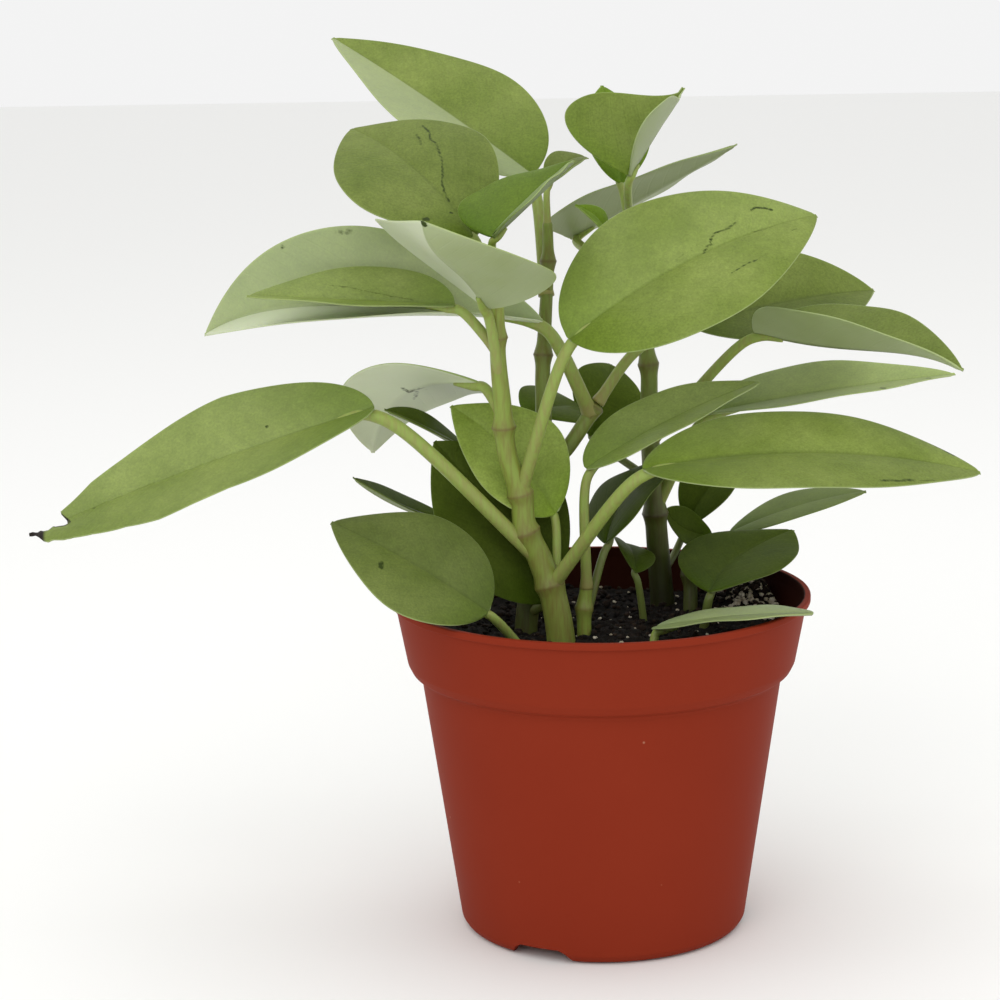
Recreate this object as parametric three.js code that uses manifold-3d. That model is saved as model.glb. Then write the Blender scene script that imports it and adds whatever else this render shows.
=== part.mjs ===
// A potted peperomia: a 12 cm nursery pot, its plug of soil, five leafy stems and their thick, smooth leaves.
//
// Millimetres, +Z up. The origin is the middle of the pot's flat foot, on the pot's axis. The front is -Y,
// and +X is to the right seen from the front. Every leaf is one piece with its stalk, and it ends 0.3 mm
// short of the stem or the soil that carries it.

import * as THREE from "three";
import { mergeVertices } from "three/addons/utils/BufferGeometryUtils.js";
import Module from "manifold-3d";

const wasm = await Module();
wasm.setup();

// ---- Driving dimensions, mm and degrees ----

const GAP = 0.3; // clearance between pieces that touch

const POT_HEIGHT = 100;
const RIM_R = 61.4; // outside of the lip
const RIM_T = 2; // lip, from its outside to the bore
const RIM_H = 2;
const COLLAR_TOP_R = 60.3;
const COLLAR_FOOT_R = 57;
const COLLAR_FOOT_Z = 80.5;
const BODY_TOP_R = 53;
const BODY_TOP_Z = 76;
const FOOT_R = 42;
const FOOT_ROUND = 2.6;
const WALL = 1.1;
const FOOT_RING_W = 3.8;
const CHANNEL_H = 4.4; // the floor is raised this much between its middle and the foot ring
const MIDDLE_R = 24; // the flat middle that stands on the table with the foot ring
const POT_SIDES = 40;

const NOTCH_COUNT = 3;
const NOTCH_FIRST = -118; // direction of the first notch, from +X
const NOTCH_FOOT_W = 22; // width at the table
const NOTCH_TOP_W = 14;
const NOTCH_H = 4;
const DRAIN_COUNT = 8;
const DRAIN_R = 3.5;
const DRAIN_RING_R = 31.5;
const DRAIN_SIDES = 8;

const SOIL_Z = 89;
const SOIL_SIDES = 28;
const SOIL_BUMP = 0.8;
const STEM_DEPTH = 12; // how deep stems and stalks stand in the soil

const STEM_SIDES = 8;
const NODE_SWELL = 0.5; // how far a node stands out of its stem
const NODE_LENGTH = 2.2;
const STALK_SIDES = 6;
const STALK_R = 0.9; // of a stalk with no blade; it grows with the blade's length
const STALK_R_PER_LENGTH = 0.0125;
const STALK_TOP_SHARE = 0.85; // the stalk's radius where the blade starts
const STALK_BEND = 0.1; // the share of the stalk, next to the blade, that turns into the blade's direction
const KEEL_R = 0.6; // where the stalk has run out under the blade
const KEEL_SHARE = 0.14; // how far along the blade the stalk runs on
const BLADE_T = 0.9;
const BLADE_END_HALF_W = 0.7; // half the blade's width at its two ends
const BLADE_ACROSS = 4; // cells across a blade, two for each half
const LONG_LEAF = 40; // leaves longer than this have more cells along them

// ---- Colours ----

const POT_COLOUR = 0x96412e;
const SOIL_COLOUR = 0x2a1d17;
const STEM_COLOUR = 0x83904a;
const LEAF_COLOUR = 0x7a9448;
const SHADED_LEAF_COLOUR = 0x5f7a38;

// ---- Stems: [x, y, z] points of each axis from the soil up, with radii, and the heights of their nodes ----

const STEM_FOOT_Z = SOIL_Z - STEM_DEPTH;
const STEMS = {
  front: {
    points: [[-12, -11, STEM_FOOT_Z], [-12, -11, 88], [-14, -11, 101], [-18, -11, 113], [-22, -12, 122],
      [-23, -12, 131], [-27, -13, 145], [-28, -14, 159], [-29, -14, 172], [-29, -15, 186], [-29, -15, 199]],
    footRadius: 4.4, topRadius: 1.7, nodes: [105, 121, 132, 152, 178], steps: 16,
  },
  back: {
    points: [[-22, 2, STEM_FOOT_Z], [-22, 3, 88], [-20, 5, 105], [-18, 7, 120], [-17, 8, 132], [-16, 9, 147],
      [-16, 10, 164], [-15, 12, 180], [-14, 13, 196], [-14, 14, 208]],
    footRadius: 3.6, topRadius: 1.5, nodes: [132, 169, 196], steps: 14,
  },
  branch: {
    points: [[-17, 8, 131], [-14, 9, 136], [-9, 11, 141], [-4, 12, 148], [0, 13, 154]],
    footRadius: 2.2, topRadius: 2.2, nodes: [153], steps: 5,
  },
  right: {
    points: [[20, 31, STEM_FOOT_Z], [20, 31, 88], [19, 31, 102], [18, 30, 115], [17, 29, 130], [16, 28, 146],
      [16, 27, 161], [15, 27, 170], [13, 26, 186], [10, 24, 207]],
    footRadius: 3.9, topRadius: 1.7, nodes: [117, 145, 163, 189], steps: 14,
  },
  thin: {
    points: [[-5, -4, STEM_FOOT_Z], [-5, -4, 88], [-5, -4, 96], [-4, -4, 104]],
    footRadius: 2.3, topRadius: 1.9, nodes: [96], steps: 5,
  },
  low: {
    points: [[28, 23, STEM_FOOT_Z], [28, 23, 88], [28, 24, 96], [27, 25, 105]],
    footRadius: 2.4, topRadius: 1.9, nodes: [99], steps: 5,
  },
};

// ---- Leaves ----
// base and tip are the two ends of the midrib. roll turns the blade about the line between them, away from
// facing up. Each half rises from the midrib by fold degrees, and by curl degrees more at its margin, as its
// form says. bow and sweep are how far the midrib arches up and sideways, hook how far its outer part rises,
// and twist is how much the blade turns from base to tip. widest is where the blade is widest, from base to
// tip. roundness is the exponent of its outline, the smaller the blunter, and taper is added to it towards
// the tip. The stalk starts on a stem at the height joint, or in the soil at a point, and may pass a point.

const FORMS = {
  flat: { fold: 12, curl: -15 }, // nearly flat, its margins turned a little down
  trough: { fold: 16, curl: -4 },
  cupped: { fold: 26, curl: -14 },
  folded: { fold: 37, curl: 0 },
};
const PLAIN = { widest: 0.47, roundness: 0.72, taper: 0.13, bow: 0, hook: 0, sweep: 0, twist: 0 };

const LEAVES = {
  // on the front stem
  leaf_young_top: { base: [-30, -29, 208], tip: [-7, -12, 227], width: 44, roll: -10, form: "cupped",
    widest: 0.3, stem: "front", joint: 196 },
  leaf_round_left: { base: [-35, -8, 206], tip: [-71, 28, 234], width: 49, roll: -20, form: "flat",
    bow: 5, stem: "front", joint: 184 },
  leaf_facing_front: { base: [-32, -20, 187], tip: [-48, -72, 217], width: 54, roll: -18, form: "cupped",
    bow: 1, hook: -3, stem: "front", joint: 166 },
  leaf_narrow_left: { base: [-41, -13, 187], tip: [-100, -10, 190], width: 31, roll: -15, form: "cupped",
    widest: 0.38, stem: "front", joint: 174 },
  leaf_arched_left: { base: [-34, -4, 163], tip: [-68, 46, 134], width: 38, roll: 15, form: "flat",
    bow: 7, sweep: -7, twist: -30, stem: "front", joint: 155 },
  leaf_broad_centre: { base: [-9, -28, 179], tip: [63, 4, 209], width: 50, roll: 37, form: "flat",
    bow: 8, twist: 12, widest: 0.39, roundness: 0.66, stem: "front", joint: 132 },
  leaf_long_left: { base: [-64, -24, 160], tip: [-164, -16, 123], width: 42, roll: -32, form: "trough",
    bow: 2, twist: -12, widest: 0.39, taper: 0.35, stem: "front", joint: 112 },
  leaf_long_right: { base: [11, -34, 143], tip: [107, -22, 138], width: 41, roll: 23, form: "flat",
    bow: 6, twist: 14, widest: 0.38, taper: 0, stem: "front", joint: 104 },
  leaf_bright_centre: { base: [-13, -6, 125], tip: [-43, 5, 155], width: 31, roll: -44, form: "trough",
    bow: 2, sweep: 2, widest: 0.42, stem: "front", joint: 98 },

  // on the back stem and its branch
  leaf_top_left: { base: [-18, 27, 220], tip: [-78, 66, 259], width: 47, roll: -18, form: "trough",
    bow: -1, sweep: 3, twist: 6, widest: 0.38, stem: "back", joint: 186 },
  leaf_small_back: { base: [-14, 14, 218], tip: [-2, 22, 225], width: 12, roll: 15, form: "trough",
    bow: 3, stem: "back", joint: 205 },
  leaf_dark_rear: { base: [-21, 18, 150], tip: [-2, 40, 147], width: 26, roll: 20, form: "flat",
    bow: 2, stem: "back", joint: 144 },
  leaf_grey_left: { base: [-37, 22, 137], tip: [-62, 0, 155], width: 16, roll: -25, form: "trough",
    bow: 1, stem: "back", joint: 118 },
  leaf_edge_left: { base: [-44, 18, 118], tip: [-72, 6, 134], width: 17, roll: -10, form: "trough",
    bow: -2, stem: "back", joint: 105 },
  leaf_dark_left: { base: [-16, -3, 98], tip: [-48, 3, 145], width: 43, roll: -50, form: "trough",
    bow: 4, stem: "back", joint: 93 },
  leaf_folded_left: { base: [-16, 1, 180], tip: [-116, 26, 174], width: 47, roll: -46, form: "folded",
    curl: 17, bow: 8, hook: 5, twist: -30, widest: 0.52, stem: "branch", joint: 151 },
  leaf_right_back: { base: [29, 26, 174], tip: [86, 50, 181], width: 38, roll: 38, form: "trough",
    bow: 3, stem: "branch", joint: 154, via: [12, 16, 169] },

  // on the right stem
  leaf_cupped_right: { base: [9, -2, 222], tip: [26, 17, 245], width: 51, roll: 0, form: "folded",
    fold: 46, twist: 22, widest: 0.28, taper: 1, stem: "right", joint: 203 },
  leaf_round_back: { base: [8, 28, 217], tip: [3, 38, 245], width: 23, roll: 5, form: "flat",
    bow: 2, stem: "right", joint: 199 },
  leaf_long_back: { base: [-6, 66, 197], tip: [43, 38, 227], width: 44, roll: -6, form: "cupped",
    fold: 17, widest: 0.22, stem: "right", joint: 189 },
  leaf_bud_right: { base: [3, 18, 201], tip: [-6, 14, 212], width: 8, roll: -50, form: "trough",
    bow: 3, stem: "right", joint: 197 },
  leaf_folded_right: { base: [46, 10, 175], tip: [101, -26, 168], width: 37, roll: 0, form: "folded",
    fold: 36, bow: -1, hook: 3, twist: 20, widest: 0.34, stem: "right", joint: 139 },
  leaf_middle_right: { base: [33, 26, 148], tip: [109, 36, 157], width: 33, roll: 10, form: "trough",
    bow: 1, widest: 0.42, stem: "right", joint: 118 },
  leaf_round_rear: { base: [-1, 44, 138], tip: [6, 66, 157], width: 23, roll: 30, form: "trough",
    bow: 4, stem: "right", joint: 127 },

  // on the thin stem
  leaf_rising_right: { base: [-4, -6, 138], tip: [47, 8, 160], width: 28, roll: 12, form: "trough",
    bow: 2, widest: 0.4, roundness: 0.6, stem: "thin", joint: 102 },
  leaf_shaded_centre: { base: [2, 2, 114], tip: [24, 18, 137], width: 38, roll: -15, form: "flat",
    bow: 3, sweep: -4, stem: "thin", joint: 91 },

  // on the low stem
  leaf_low_back: { base: [42, 50, 106], tip: [84, 47, 119], width: 19, roll: 14, form: "flat",
    bow: 2, stem: "low", joint: 97, via: [38, 34, 100] },
  leaf_shaded_right: { base: [29, 48, 109], tip: [46, 60, 125], width: 19, roll: 20, form: "trough",
    bow: 5, stem: "right", joint: 97, via: [24, 41, 101] },
  leaf_shaded_small: { base: [36, 41, 107], tip: [21, 34, 117], width: 14, roll: -50, form: "trough",
    bow: -3, stem: "low", joint: 103 },

  // straight out of the soil
  leaf_low_left: { base: [-33, -35, 103], tip: [-77, -24, 127], width: 41, roll: -27, form: "flat",
    bow: 5, sweep: -3, widest: 0.4, soil: [-20, -15] },
  leaf_low_right: { base: [32, -3, 100], tip: [60, 34, 110], width: 36, roll: 3, form: "flat",
    sweep: -5, twist: 12, soil: [30, 5] },
  leaf_over_rim: { base: [15, -25, 95], tip: [58, -39, 102], width: 30, roll: -5, form: "flat",
    bow: 1, widest: 0.38, roundness: 0.55, soil: [14, -28] },
  leaf_shaded_stub: { base: [11, 11, 103], tip: [8, 33, 107], width: 14, roll: 26, form: "trough",
    bow: 2, soil: [14, 14] },
};
const SHADED_LEAVES = ["leaf_dark_left", "leaf_dark_rear", "leaf_round_rear", "leaf_shaded_centre",
  "leaf_shaded_right", "leaf_shaded_small", "leaf_shaded_stub", "leaf_low_right", "leaf_low_back",
  "leaf_grey_left", "leaf_edge_left"];

// ---- Solids ----

const degrees = THREE.MathUtils.degToRad;
const vector = (point) => new THREE.Vector3(...point);

// A geometry with shared vertices and no flat triangles, as a solid that can be joined and cut.
function solid(geometry) {
  const bare = geometry.clone();
  bare.deleteAttribute("normal");
  bare.deleteAttribute("uv");
  const merged = mergeVertices(bare, 1e-4);
  const corners = merged.index.array;
  const triangles = [];
  for (let i = 0; i < corners.length; i += 3) {
    const [a, b, c] = [corners[i], corners[i + 1], corners[i + 2]];
    if (a !== b && b !== c && c !== a) triangles.push(a, b, c);
  }
  return new wasm.Manifold(new wasm.Mesh({
    numProp: 3,
    vertProperties: new Float32Array(merged.attributes.position.array),
    triVerts: new Uint32Array(triangles),
  }));
}

function geometryOf(body) {
  const { vertProperties, triVerts } = body.getMesh();
  const geometry = new THREE.BufferGeometry();
  geometry.setAttribute("position", new THREE.BufferAttribute(new Float32Array(vertProperties), 3));
  geometry.setIndex(new THREE.BufferAttribute(new Uint32Array(triVerts), 1));
  geometry.computeVertexNormals();
  return geometry;
}

// A closed round bar along a curve: a cylinder whose rings are moved onto the curve and scaled to radius(t).
function bar(curve, radius, sides, steps) {
  const geometry = new THREE.CylinderGeometry(1, 1, 1, sides, steps);
  const frames = curve.computeFrenetFrames(steps);
  const position = geometry.attributes.position;
  const point = new THREE.Vector3();
  for (let i = 0; i < position.count; i++) {
    const ring = Math.round((position.getY(i) + 0.5) * steps);
    const t = ring / steps;
    const [x, z] = [position.getX(i) * radius(t), position.getZ(i) * radius(t)];
    curve.getPointAt(t, point);
    point.addScaledVector(frames.normals[ring], x).addScaledVector(frames.binormals[ring], -z);
    position.setXYZ(i, point.x, point.y, point.z);
  }
  return geometry;
}

// ---- Pot and soil ----

const BORE_R = RIM_R - RIM_T;
const wallRadius = (z) => FOOT_R + ((BODY_TOP_R - FOOT_R) * z) / BODY_TOP_Z;

// The bore of the pot from its floor's middle up to the rim, as [radius, height] points.
function borePoints() {
  const floorZ = CHANNEL_H + WALL;
  return [
    [0, WALL],
    [MIDDLE_R - WALL, WALL],
    [MIDDLE_R + 1, floorZ],
    [wallRadius(floorZ) - WALL, floorZ],
    [BODY_TOP_R - WALL, BODY_TOP_Z + 0.5],
    [COLLAR_FOOT_R - WALL - 1, COLLAR_FOOT_Z],
    [COLLAR_FOOT_R - WALL, COLLAR_FOOT_Z + 2],
    [BORE_R, POT_HEIGHT - RIM_H - 1],
    [BORE_R, POT_HEIGHT - 0.4],
  ];
}

function pot() {
  const outside = [
    [BORE_R + 0.4, POT_HEIGHT],
    [RIM_R - 0.5, POT_HEIGHT],
    [RIM_R, POT_HEIGHT - 0.5],
    [RIM_R, POT_HEIGHT - RIM_H + 0.4],
    [COLLAR_TOP_R, POT_HEIGHT - RIM_H],
    [COLLAR_FOOT_R, COLLAR_FOOT_Z],
    [COLLAR_FOOT_R - 1.2, COLLAR_FOOT_Z - 2.4],
    [BODY_TOP_R + 0.4, BODY_TOP_Z + 0.8],
    [BODY_TOP_R, BODY_TOP_Z],
    [wallRadius(FOOT_ROUND), FOOT_ROUND],
    [FOOT_R - 0.8, 0.8],
    [FOOT_R - FOOT_ROUND, 0],
    [FOOT_R - FOOT_RING_W, 0],
    [FOOT_R - FOOT_RING_W, CHANNEL_H],
    [MIDDLE_R + 2.5, CHANNEL_H],
    [MIDDLE_R, 0],
    [0, 0],
  ];
  const profile = [...borePoints(), ...outside].map(([r, z]) => new THREE.Vector2(r, z)).reverse();
  let shell = solid(new THREE.LatheGeometry(profile, POT_SIDES).rotateX(Math.PI / 2));
  for (const tool of [...notches(), ...drains()]) shell = shell.subtract(solid(tool));
  return shell;
}

// The feet's notches, which let water out under the foot ring.
function notches() {
  const [foot, top] = [NOTCH_FOOT_W / 2, NOTCH_TOP_W / 2];
  const outline = new THREE.Shape([
    new THREE.Vector2(-foot, -1),
    new THREE.Vector2(foot, -1),
    new THREE.Vector2(top + 1, NOTCH_H - 1),
    new THREE.Vector2(top - 1, NOTCH_H),
    new THREE.Vector2(1 - top, NOTCH_H),
    new THREE.Vector2(-1 - top, NOTCH_H - 1),
  ]);
  return Array.from({ length: NOTCH_COUNT }, (_, i) => {
    const tool = new THREE.ExtrudeGeometry(outline, { depth: FOOT_RING_W + 6, bevelEnabled: false });
    tool.rotateX(Math.PI / 2).rotateZ(Math.PI / 2).translate(FOOT_R - FOOT_RING_W - 4, 0, 0);
    return tool.rotateZ(degrees(NOTCH_FIRST + (360 / NOTCH_COUNT) * i));
  });
}

// The drain holes, through the raised ring of the floor.
function drains() {
  return Array.from({ length: DRAIN_COUNT }, (_, i) => {
    const drill = new THREE.CylinderGeometry(DRAIN_R, DRAIN_R, 3 * WALL, DRAIN_SIDES).rotateX(Math.PI / 2);
    drill.translate(DRAIN_RING_R, 0, CHANNEL_H + WALL / 2);
    return drill.rotateZ(degrees((360 / DRAIN_COUNT) * (i + 0.5)));
  });
}

// The plug of soil: the bore's shape, GAP smaller, with a slightly uneven top.
function soilPlug() {
  const clear = GAP + 0.15;
  const points = borePoints().filter(([, z]) => z < SOIL_Z - 1);
  const plug = points.map(([r, z]) => new THREE.Vector2(r === 0 ? 0 : r - clear, z + GAP));
  plug.push(new THREE.Vector2(COLLAR_FOOT_R - WALL + 0.4 - clear, SOIL_Z - 0.8));
  for (const r of [52, 38, 24, 11, 0]) plug.push(new THREE.Vector2(r, SOIL_Z));
  const geometry = new THREE.LatheGeometry(plug, SOIL_SIDES).rotateX(Math.PI / 2);
  const position = geometry.attributes.position;
  for (let i = 0; i < position.count; i++) {
    const [x, y, z] = [position.getX(i), position.getY(i), position.getZ(i)];
    const onTop = z > SOIL_Z - 0.5;
    if (onTop) position.setZ(i, z - SOIL_BUMP * (0.5 + 0.5 * Math.sin(0.31 * x + 1) * Math.cos(0.27 * y)));
  }
  return solid(geometry);
}

// ---- Stems ----

for (const stem of Object.values(STEMS)) {
  stem.curve = new THREE.CatmullRomCurve3(stem.points.map(vector), false, "centripetal");
}

// The point of a stem's axis at a height.
function axisPoint(stem, height) {
  const points = stem.points;
  const last = points.length - 1;
  let i = 1;
  while (i < last && points[i][2] < height) i++;
  const share = THREE.MathUtils.clamp((height - points[i - 1][2]) / (points[i][2] - points[i - 1][2]), 0, 1);
  return vector(points[i - 1]).lerp(vector(points[i]), share);
}

// A stem tapers from foot to top and swells at its nodes. extra makes it fatter, to cut its seat in others.
function stemSolid(stem, extra = 0) {
  const radius = (t) => {
    const height = stem.curve.getPointAt(t).z;
    let r = THREE.MathUtils.lerp(stem.footRadius, stem.topRadius, t);
    for (const node of stem.nodes) r += NODE_SWELL * Math.exp(-(((height - node) / NODE_LENGTH) ** 2));
    return r + extra;
  };
  return solid(bar(stem.curve, radius, STEM_SIDES, stem.steps));
}

// ---- Leaves ----

// The blade's middle surface: across the blade, v runs from -1 to 1, and along it u runs from 0 to 1.
function bladeSurface(leaf) {
  const shape = { ...PLAIN, ...FORMS[leaf.form], ...leaf };
  const { fold, curl, widest, roundness, taper, bow, hook, sweep, twist } = shape;
  const base = vector(leaf.base);
  const along = vector(leaf.tip).sub(base);
  const chord = along.clone().normalize();
  const up = new THREE.Vector3(0, 0, 1).addScaledVector(chord, -chord.z).normalize();
  const normal = up.applyAxisAngle(chord, degrees(leaf.roll));
  const side = new THREE.Vector3().crossVectors(chord, normal);
  const power = Math.log(0.5) / Math.log(widest);

  const halfWidth = (u) => {
    const outline = Math.max(Math.sin(Math.PI * u ** power), 0) ** (roundness + taper * u);
    return Math.max((leaf.width / 2) * outline, BLADE_END_HALF_W);
  };
  const midrib = (u) => {
    const arch = 4 * u * (1 - u);
    return base.clone().addScaledVector(along, u)
      .addScaledVector(normal, bow * arch + hook * 9.48 * u ** 3 * (1 - u))
      .addScaledVector(side, sweep * arch);
  };
  const point = (u, v) => {
    const slope = degrees(fold + (curl * Math.abs(v)) / 2);
    const turn = degrees(twist) * (u - 0.5);
    const across = halfWidth(u) * v * Math.cos(slope);
    const rise = halfWidth(u) * Math.abs(v) * Math.sin(slope);
    return midrib(u)
      .addScaledVector(side, across * Math.cos(turn) + rise * Math.sin(turn))
      .addScaledVector(normal, rise * Math.cos(turn) - across * Math.sin(turn));
  };
  return { point, midrib, length: along.length(), normal };
}

// A thin closed blade: the middle surface moved half the thickness up and down, split alike on both faces,
// with a strip round its edge.
function blade(surface) {
  const cells = surface.length > LONG_LEAF ? 8 : 6;
  const step = 1e-3;
  const faces = [[], []];
  for (let i = 0; i <= cells; i++) {
    for (let j = 0; j <= BLADE_ACROSS; j++) {
      const u = THREE.MathUtils.clamp(i / cells, step, 1 - step);
      const v = (2 * j) / BLADE_ACROSS - 1;
      const alongEdge = surface.point(u + step, v).sub(surface.point(u - step, v));
      const acrossEdge = surface.point(u, v + step).sub(surface.point(u, v - step));
      const out = alongEdge.cross(acrossEdge).normalize();
      const middle = surface.point(u, v);
      faces[0].push(middle.clone().addScaledVector(out, -BLADE_T / 2));
      faces[1].push(middle.clone().addScaledVector(out, BLADE_T / 2));
    }
  }
  const row = BLADE_ACROSS + 1;
  const count = faces[0].length;
  const index = [];
  for (let i = 0; i < cells; i++) {
    for (let j = 0; j < BLADE_ACROSS; j++) {
      const [a, b, c, d] = [i * row + j, (i + 1) * row + j, (i + 1) * row + j + 1, i * row + j + 1];
      index.push(a, c, b, a, d, c);
      index.push(count + a, count + b, count + c, count + a, count + c, count + d);
    }
  }
  const edge = [];
  for (let j = 0; j < BLADE_ACROSS; j++) edge.push(j);
  for (let i = 0; i < cells; i++) edge.push(i * row + BLADE_ACROSS);
  for (let j = BLADE_ACROSS; j > 0; j--) edge.push(cells * row + j);
  for (let i = cells; i > 0; i--) edge.push(i * row);
  edge.forEach((here, k) => {
    const next = edge[(k + 1) % edge.length];
    index.push(here, here + count, next + count, here, next + count, next);
  });
  const geometry = new THREE.BufferGeometry();
  geometry.setFromPoints([...faces[0], ...faces[1]]);
  geometry.setIndex(index);
  return solid(geometry);
}

// The stalk runs from the stem to the blade and on under its midrib, where it thins out. extra makes it
// fatter, to cut its hole in the soil.
function stalk(leaf, surface, extra = 0) {
  const start = leaf.soil
    ? new THREE.Vector3(leaf.soil[0], leaf.soil[1], SOIL_Z - STEM_DEPTH / 2)
    : axisPoint(STEMS[leaf.stem], leaf.joint);
  const base = surface.midrib(0);
  const under = (u) => surface.midrib(u).addScaledVector(surface.normal, -BLADE_T / 2);
  const route = [start];
  if (leaf.via) route.push(vector(leaf.via));
  route.push(base.clone().lerp(route.at(-1), STALK_BEND), under(0.04), under(KEEL_SHARE));
  const curve = new THREE.CatmullRomCurve3(route, false, "centripetal");
  const total = curve.getLength();
  const bladeStart = 1 - (KEEL_SHARE * surface.length) / total;
  const footRadius = STALK_R + STALK_R_PER_LENGTH * surface.length;
  const topRadius = STALK_TOP_SHARE * footRadius;
  const radius = (t) => extra + (t < bladeStart
    ? THREE.MathUtils.lerp(footRadius, topRadius, t / bladeStart)
    : THREE.MathUtils.lerp(topRadius, KEEL_R, (t - bladeStart) / (1 - bladeStart)));
  return solid(bar(curve, radius, STALK_SIDES, total > LONG_LEAF ? 8 : 6));
}

// ---- The scene graph ----

const peperomia = new THREE.Group();

function place(name, body, color, roughness) {
  const material = new THREE.MeshStandardMaterial({ color, roughness, metalness: 0 });
  const mesh = new THREE.Mesh(geometryOf(body), material);
  mesh.name = name;
  peperomia.add(mesh);
}

place("pot", pot(), POT_COLOUR, 0.45);
place("stem_front", stemSolid(STEMS.front), STEM_COLOUR, 0.5);
place("stem_back", stemSolid(STEMS.back).add(stemSolid(STEMS.branch)), STEM_COLOUR, 0.5);
place("stem_right", stemSolid(STEMS.right), STEM_COLOUR, 0.5);
place("stem_thin", stemSolid(STEMS.thin), STEM_COLOUR, 0.5);
place("stem_low", stemSolid(STEMS.low), STEM_COLOUR, 0.5);

let soil = soilPlug();
for (const stem of Object.values(STEMS)) soil = soil.subtract(stemSolid(stem, GAP));
for (const [name, leaf] of Object.entries(LEAVES)) {
  const surface = bladeSurface(leaf);
  let body = blade(surface).add(stalk(leaf, surface));
  if (leaf.soil) soil = soil.subtract(stalk(leaf, surface, GAP));
  else body = body.subtract(stemSolid(STEMS[leaf.stem], GAP));
  place(name, body, SHADED_LEAVES.includes(name) ? SHADED_LEAF_COLOUR : LEAF_COLOUR, 0.4);
}
place("soil", soil, SOIL_COLOUR, 1);

export default peperomia;
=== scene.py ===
"""A potted peperomia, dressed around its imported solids.

Metres, +Z up, the front at -Y. Sizes below are in millimetres and degrees, as in the part's source, and each
piece is worked out from them as a fine surface that stands where its solid is. Every leaf is one piece: a
blade, and the stalk that carries it.
"""

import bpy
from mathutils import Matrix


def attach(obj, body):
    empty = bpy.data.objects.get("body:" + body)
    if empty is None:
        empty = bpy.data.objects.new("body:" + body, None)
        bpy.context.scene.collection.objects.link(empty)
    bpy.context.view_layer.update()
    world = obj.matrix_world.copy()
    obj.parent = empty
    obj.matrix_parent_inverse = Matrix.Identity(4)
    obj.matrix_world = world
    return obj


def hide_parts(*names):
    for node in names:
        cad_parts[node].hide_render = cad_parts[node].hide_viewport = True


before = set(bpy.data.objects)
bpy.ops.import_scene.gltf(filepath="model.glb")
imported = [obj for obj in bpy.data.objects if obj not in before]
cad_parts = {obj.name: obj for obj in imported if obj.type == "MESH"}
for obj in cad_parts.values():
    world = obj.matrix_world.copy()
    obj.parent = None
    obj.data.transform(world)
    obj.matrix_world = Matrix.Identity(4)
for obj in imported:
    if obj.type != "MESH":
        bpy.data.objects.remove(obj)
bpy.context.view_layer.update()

import math

import bpy
import numpy as np
from mathutils import Matrix, Vector

MM = 0.001
BODY = "root"

# ---- Pot, mm ----

POT_HEIGHT = 100
RIM_R = 61.4
RIM_T = 2
RIM_H = 2
BORE_R = RIM_R - RIM_T
COLLAR_TOP_R = 60.3
COLLAR_FOOT_R = 57
COLLAR_FOOT_Z = 80.5
BODY_TOP_R = 53
BODY_TOP_Z = 76
FOOT_R = 42
FOOT_ROUND = 2.6
WALL = 1.1
FOOT_RING_W = 3.8
CHANNEL_H = 4.4
MIDDLE_R = 24
EDGE_ROUND = 0.5
SHARP_BEND = 32  # degrees: edges of the pot that bend more stay crisp
POT_SIDES = 240

NOTCH_COUNT = 3
NOTCH_FIRST = -118
NOTCH_FOOT_W = 22
NOTCH_TOP_W = 14
NOTCH_H = 4
NOTCH_CHAMFER = 1
DRAIN_COUNT = 8
DRAIN_R = 3.5
DRAIN_RING_R = 31.5
DRAIN_SIDES = 40

# ---- Soil, mm ----

SOIL_Z = 88.4
SOIL_GAP = 0.45
SOIL_R = COLLAR_FOOT_R - WALL + 0.3 - SOIL_GAP
SOIL_RINGS = 110
SOIL_SIDES = 220
SOIL_SEED = 11
SOIL_WAVES = [(30, 0.7), (9, 0.55), (3.2, 0.35)]
WAVE_DIRECTIONS = 5
WAVE_CALM = 2.2
SOIL_FALL = 0.8
SOIL_LUMP_MAX = 1.6
MOUND_X, MOUND_Y, MOUND_R, MOUND_H = 49, 25, 10, 8
STEM_DEPTH = 12

# Loose crumbs: the spots they are strewn around, as (x, y, spread), the range of their dents, how far past
# the soil's edge they may reach, where the bore is already wider, and how they are squashed, turned (radians)
# and laid.
STREWN = [(0, 0, 26), (20, 10, 22), (-10, 20, 20)]
MOUNDED = [(MOUND_X, MOUND_Y - 2, 4.5), (MOUND_X - 3, MOUND_Y + 1, 6)]
CRUMB_DENTS = (0.65, 1.25)
CRUMB_OVERREACH = 1
CRUMB_NARROWING = (0.5, 1)
CRUMB_FLATTENING = (0.6, 1)
CRUMB_TILT = 0.6
CRUMB_LIFT = 0.3
CRUMB_STAND = 0.4

# ---- Stems, mm: points of each axis, radii at foot and top, the heights of the nodes, and how light the stem
# is at the three heights STEM_SHADE_Z, a painted shade that darkens the stems low in the pot ----

STEM_FOOT_Z = 77
STEM_SIDES = 40
STEM_STEP = 0.7
NODE_SWELL = 0.65
NODE_LENGTH = 2.2
NODE_LIP = 0.22
NODE_LIP_LENGTH = 0.45
LIP_BROWNING = 0.85
NODE_BROWNING = 0.35
END_NARROWING = 0.98
STEM_SHADE_Z = [92, 135, 200]

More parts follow.
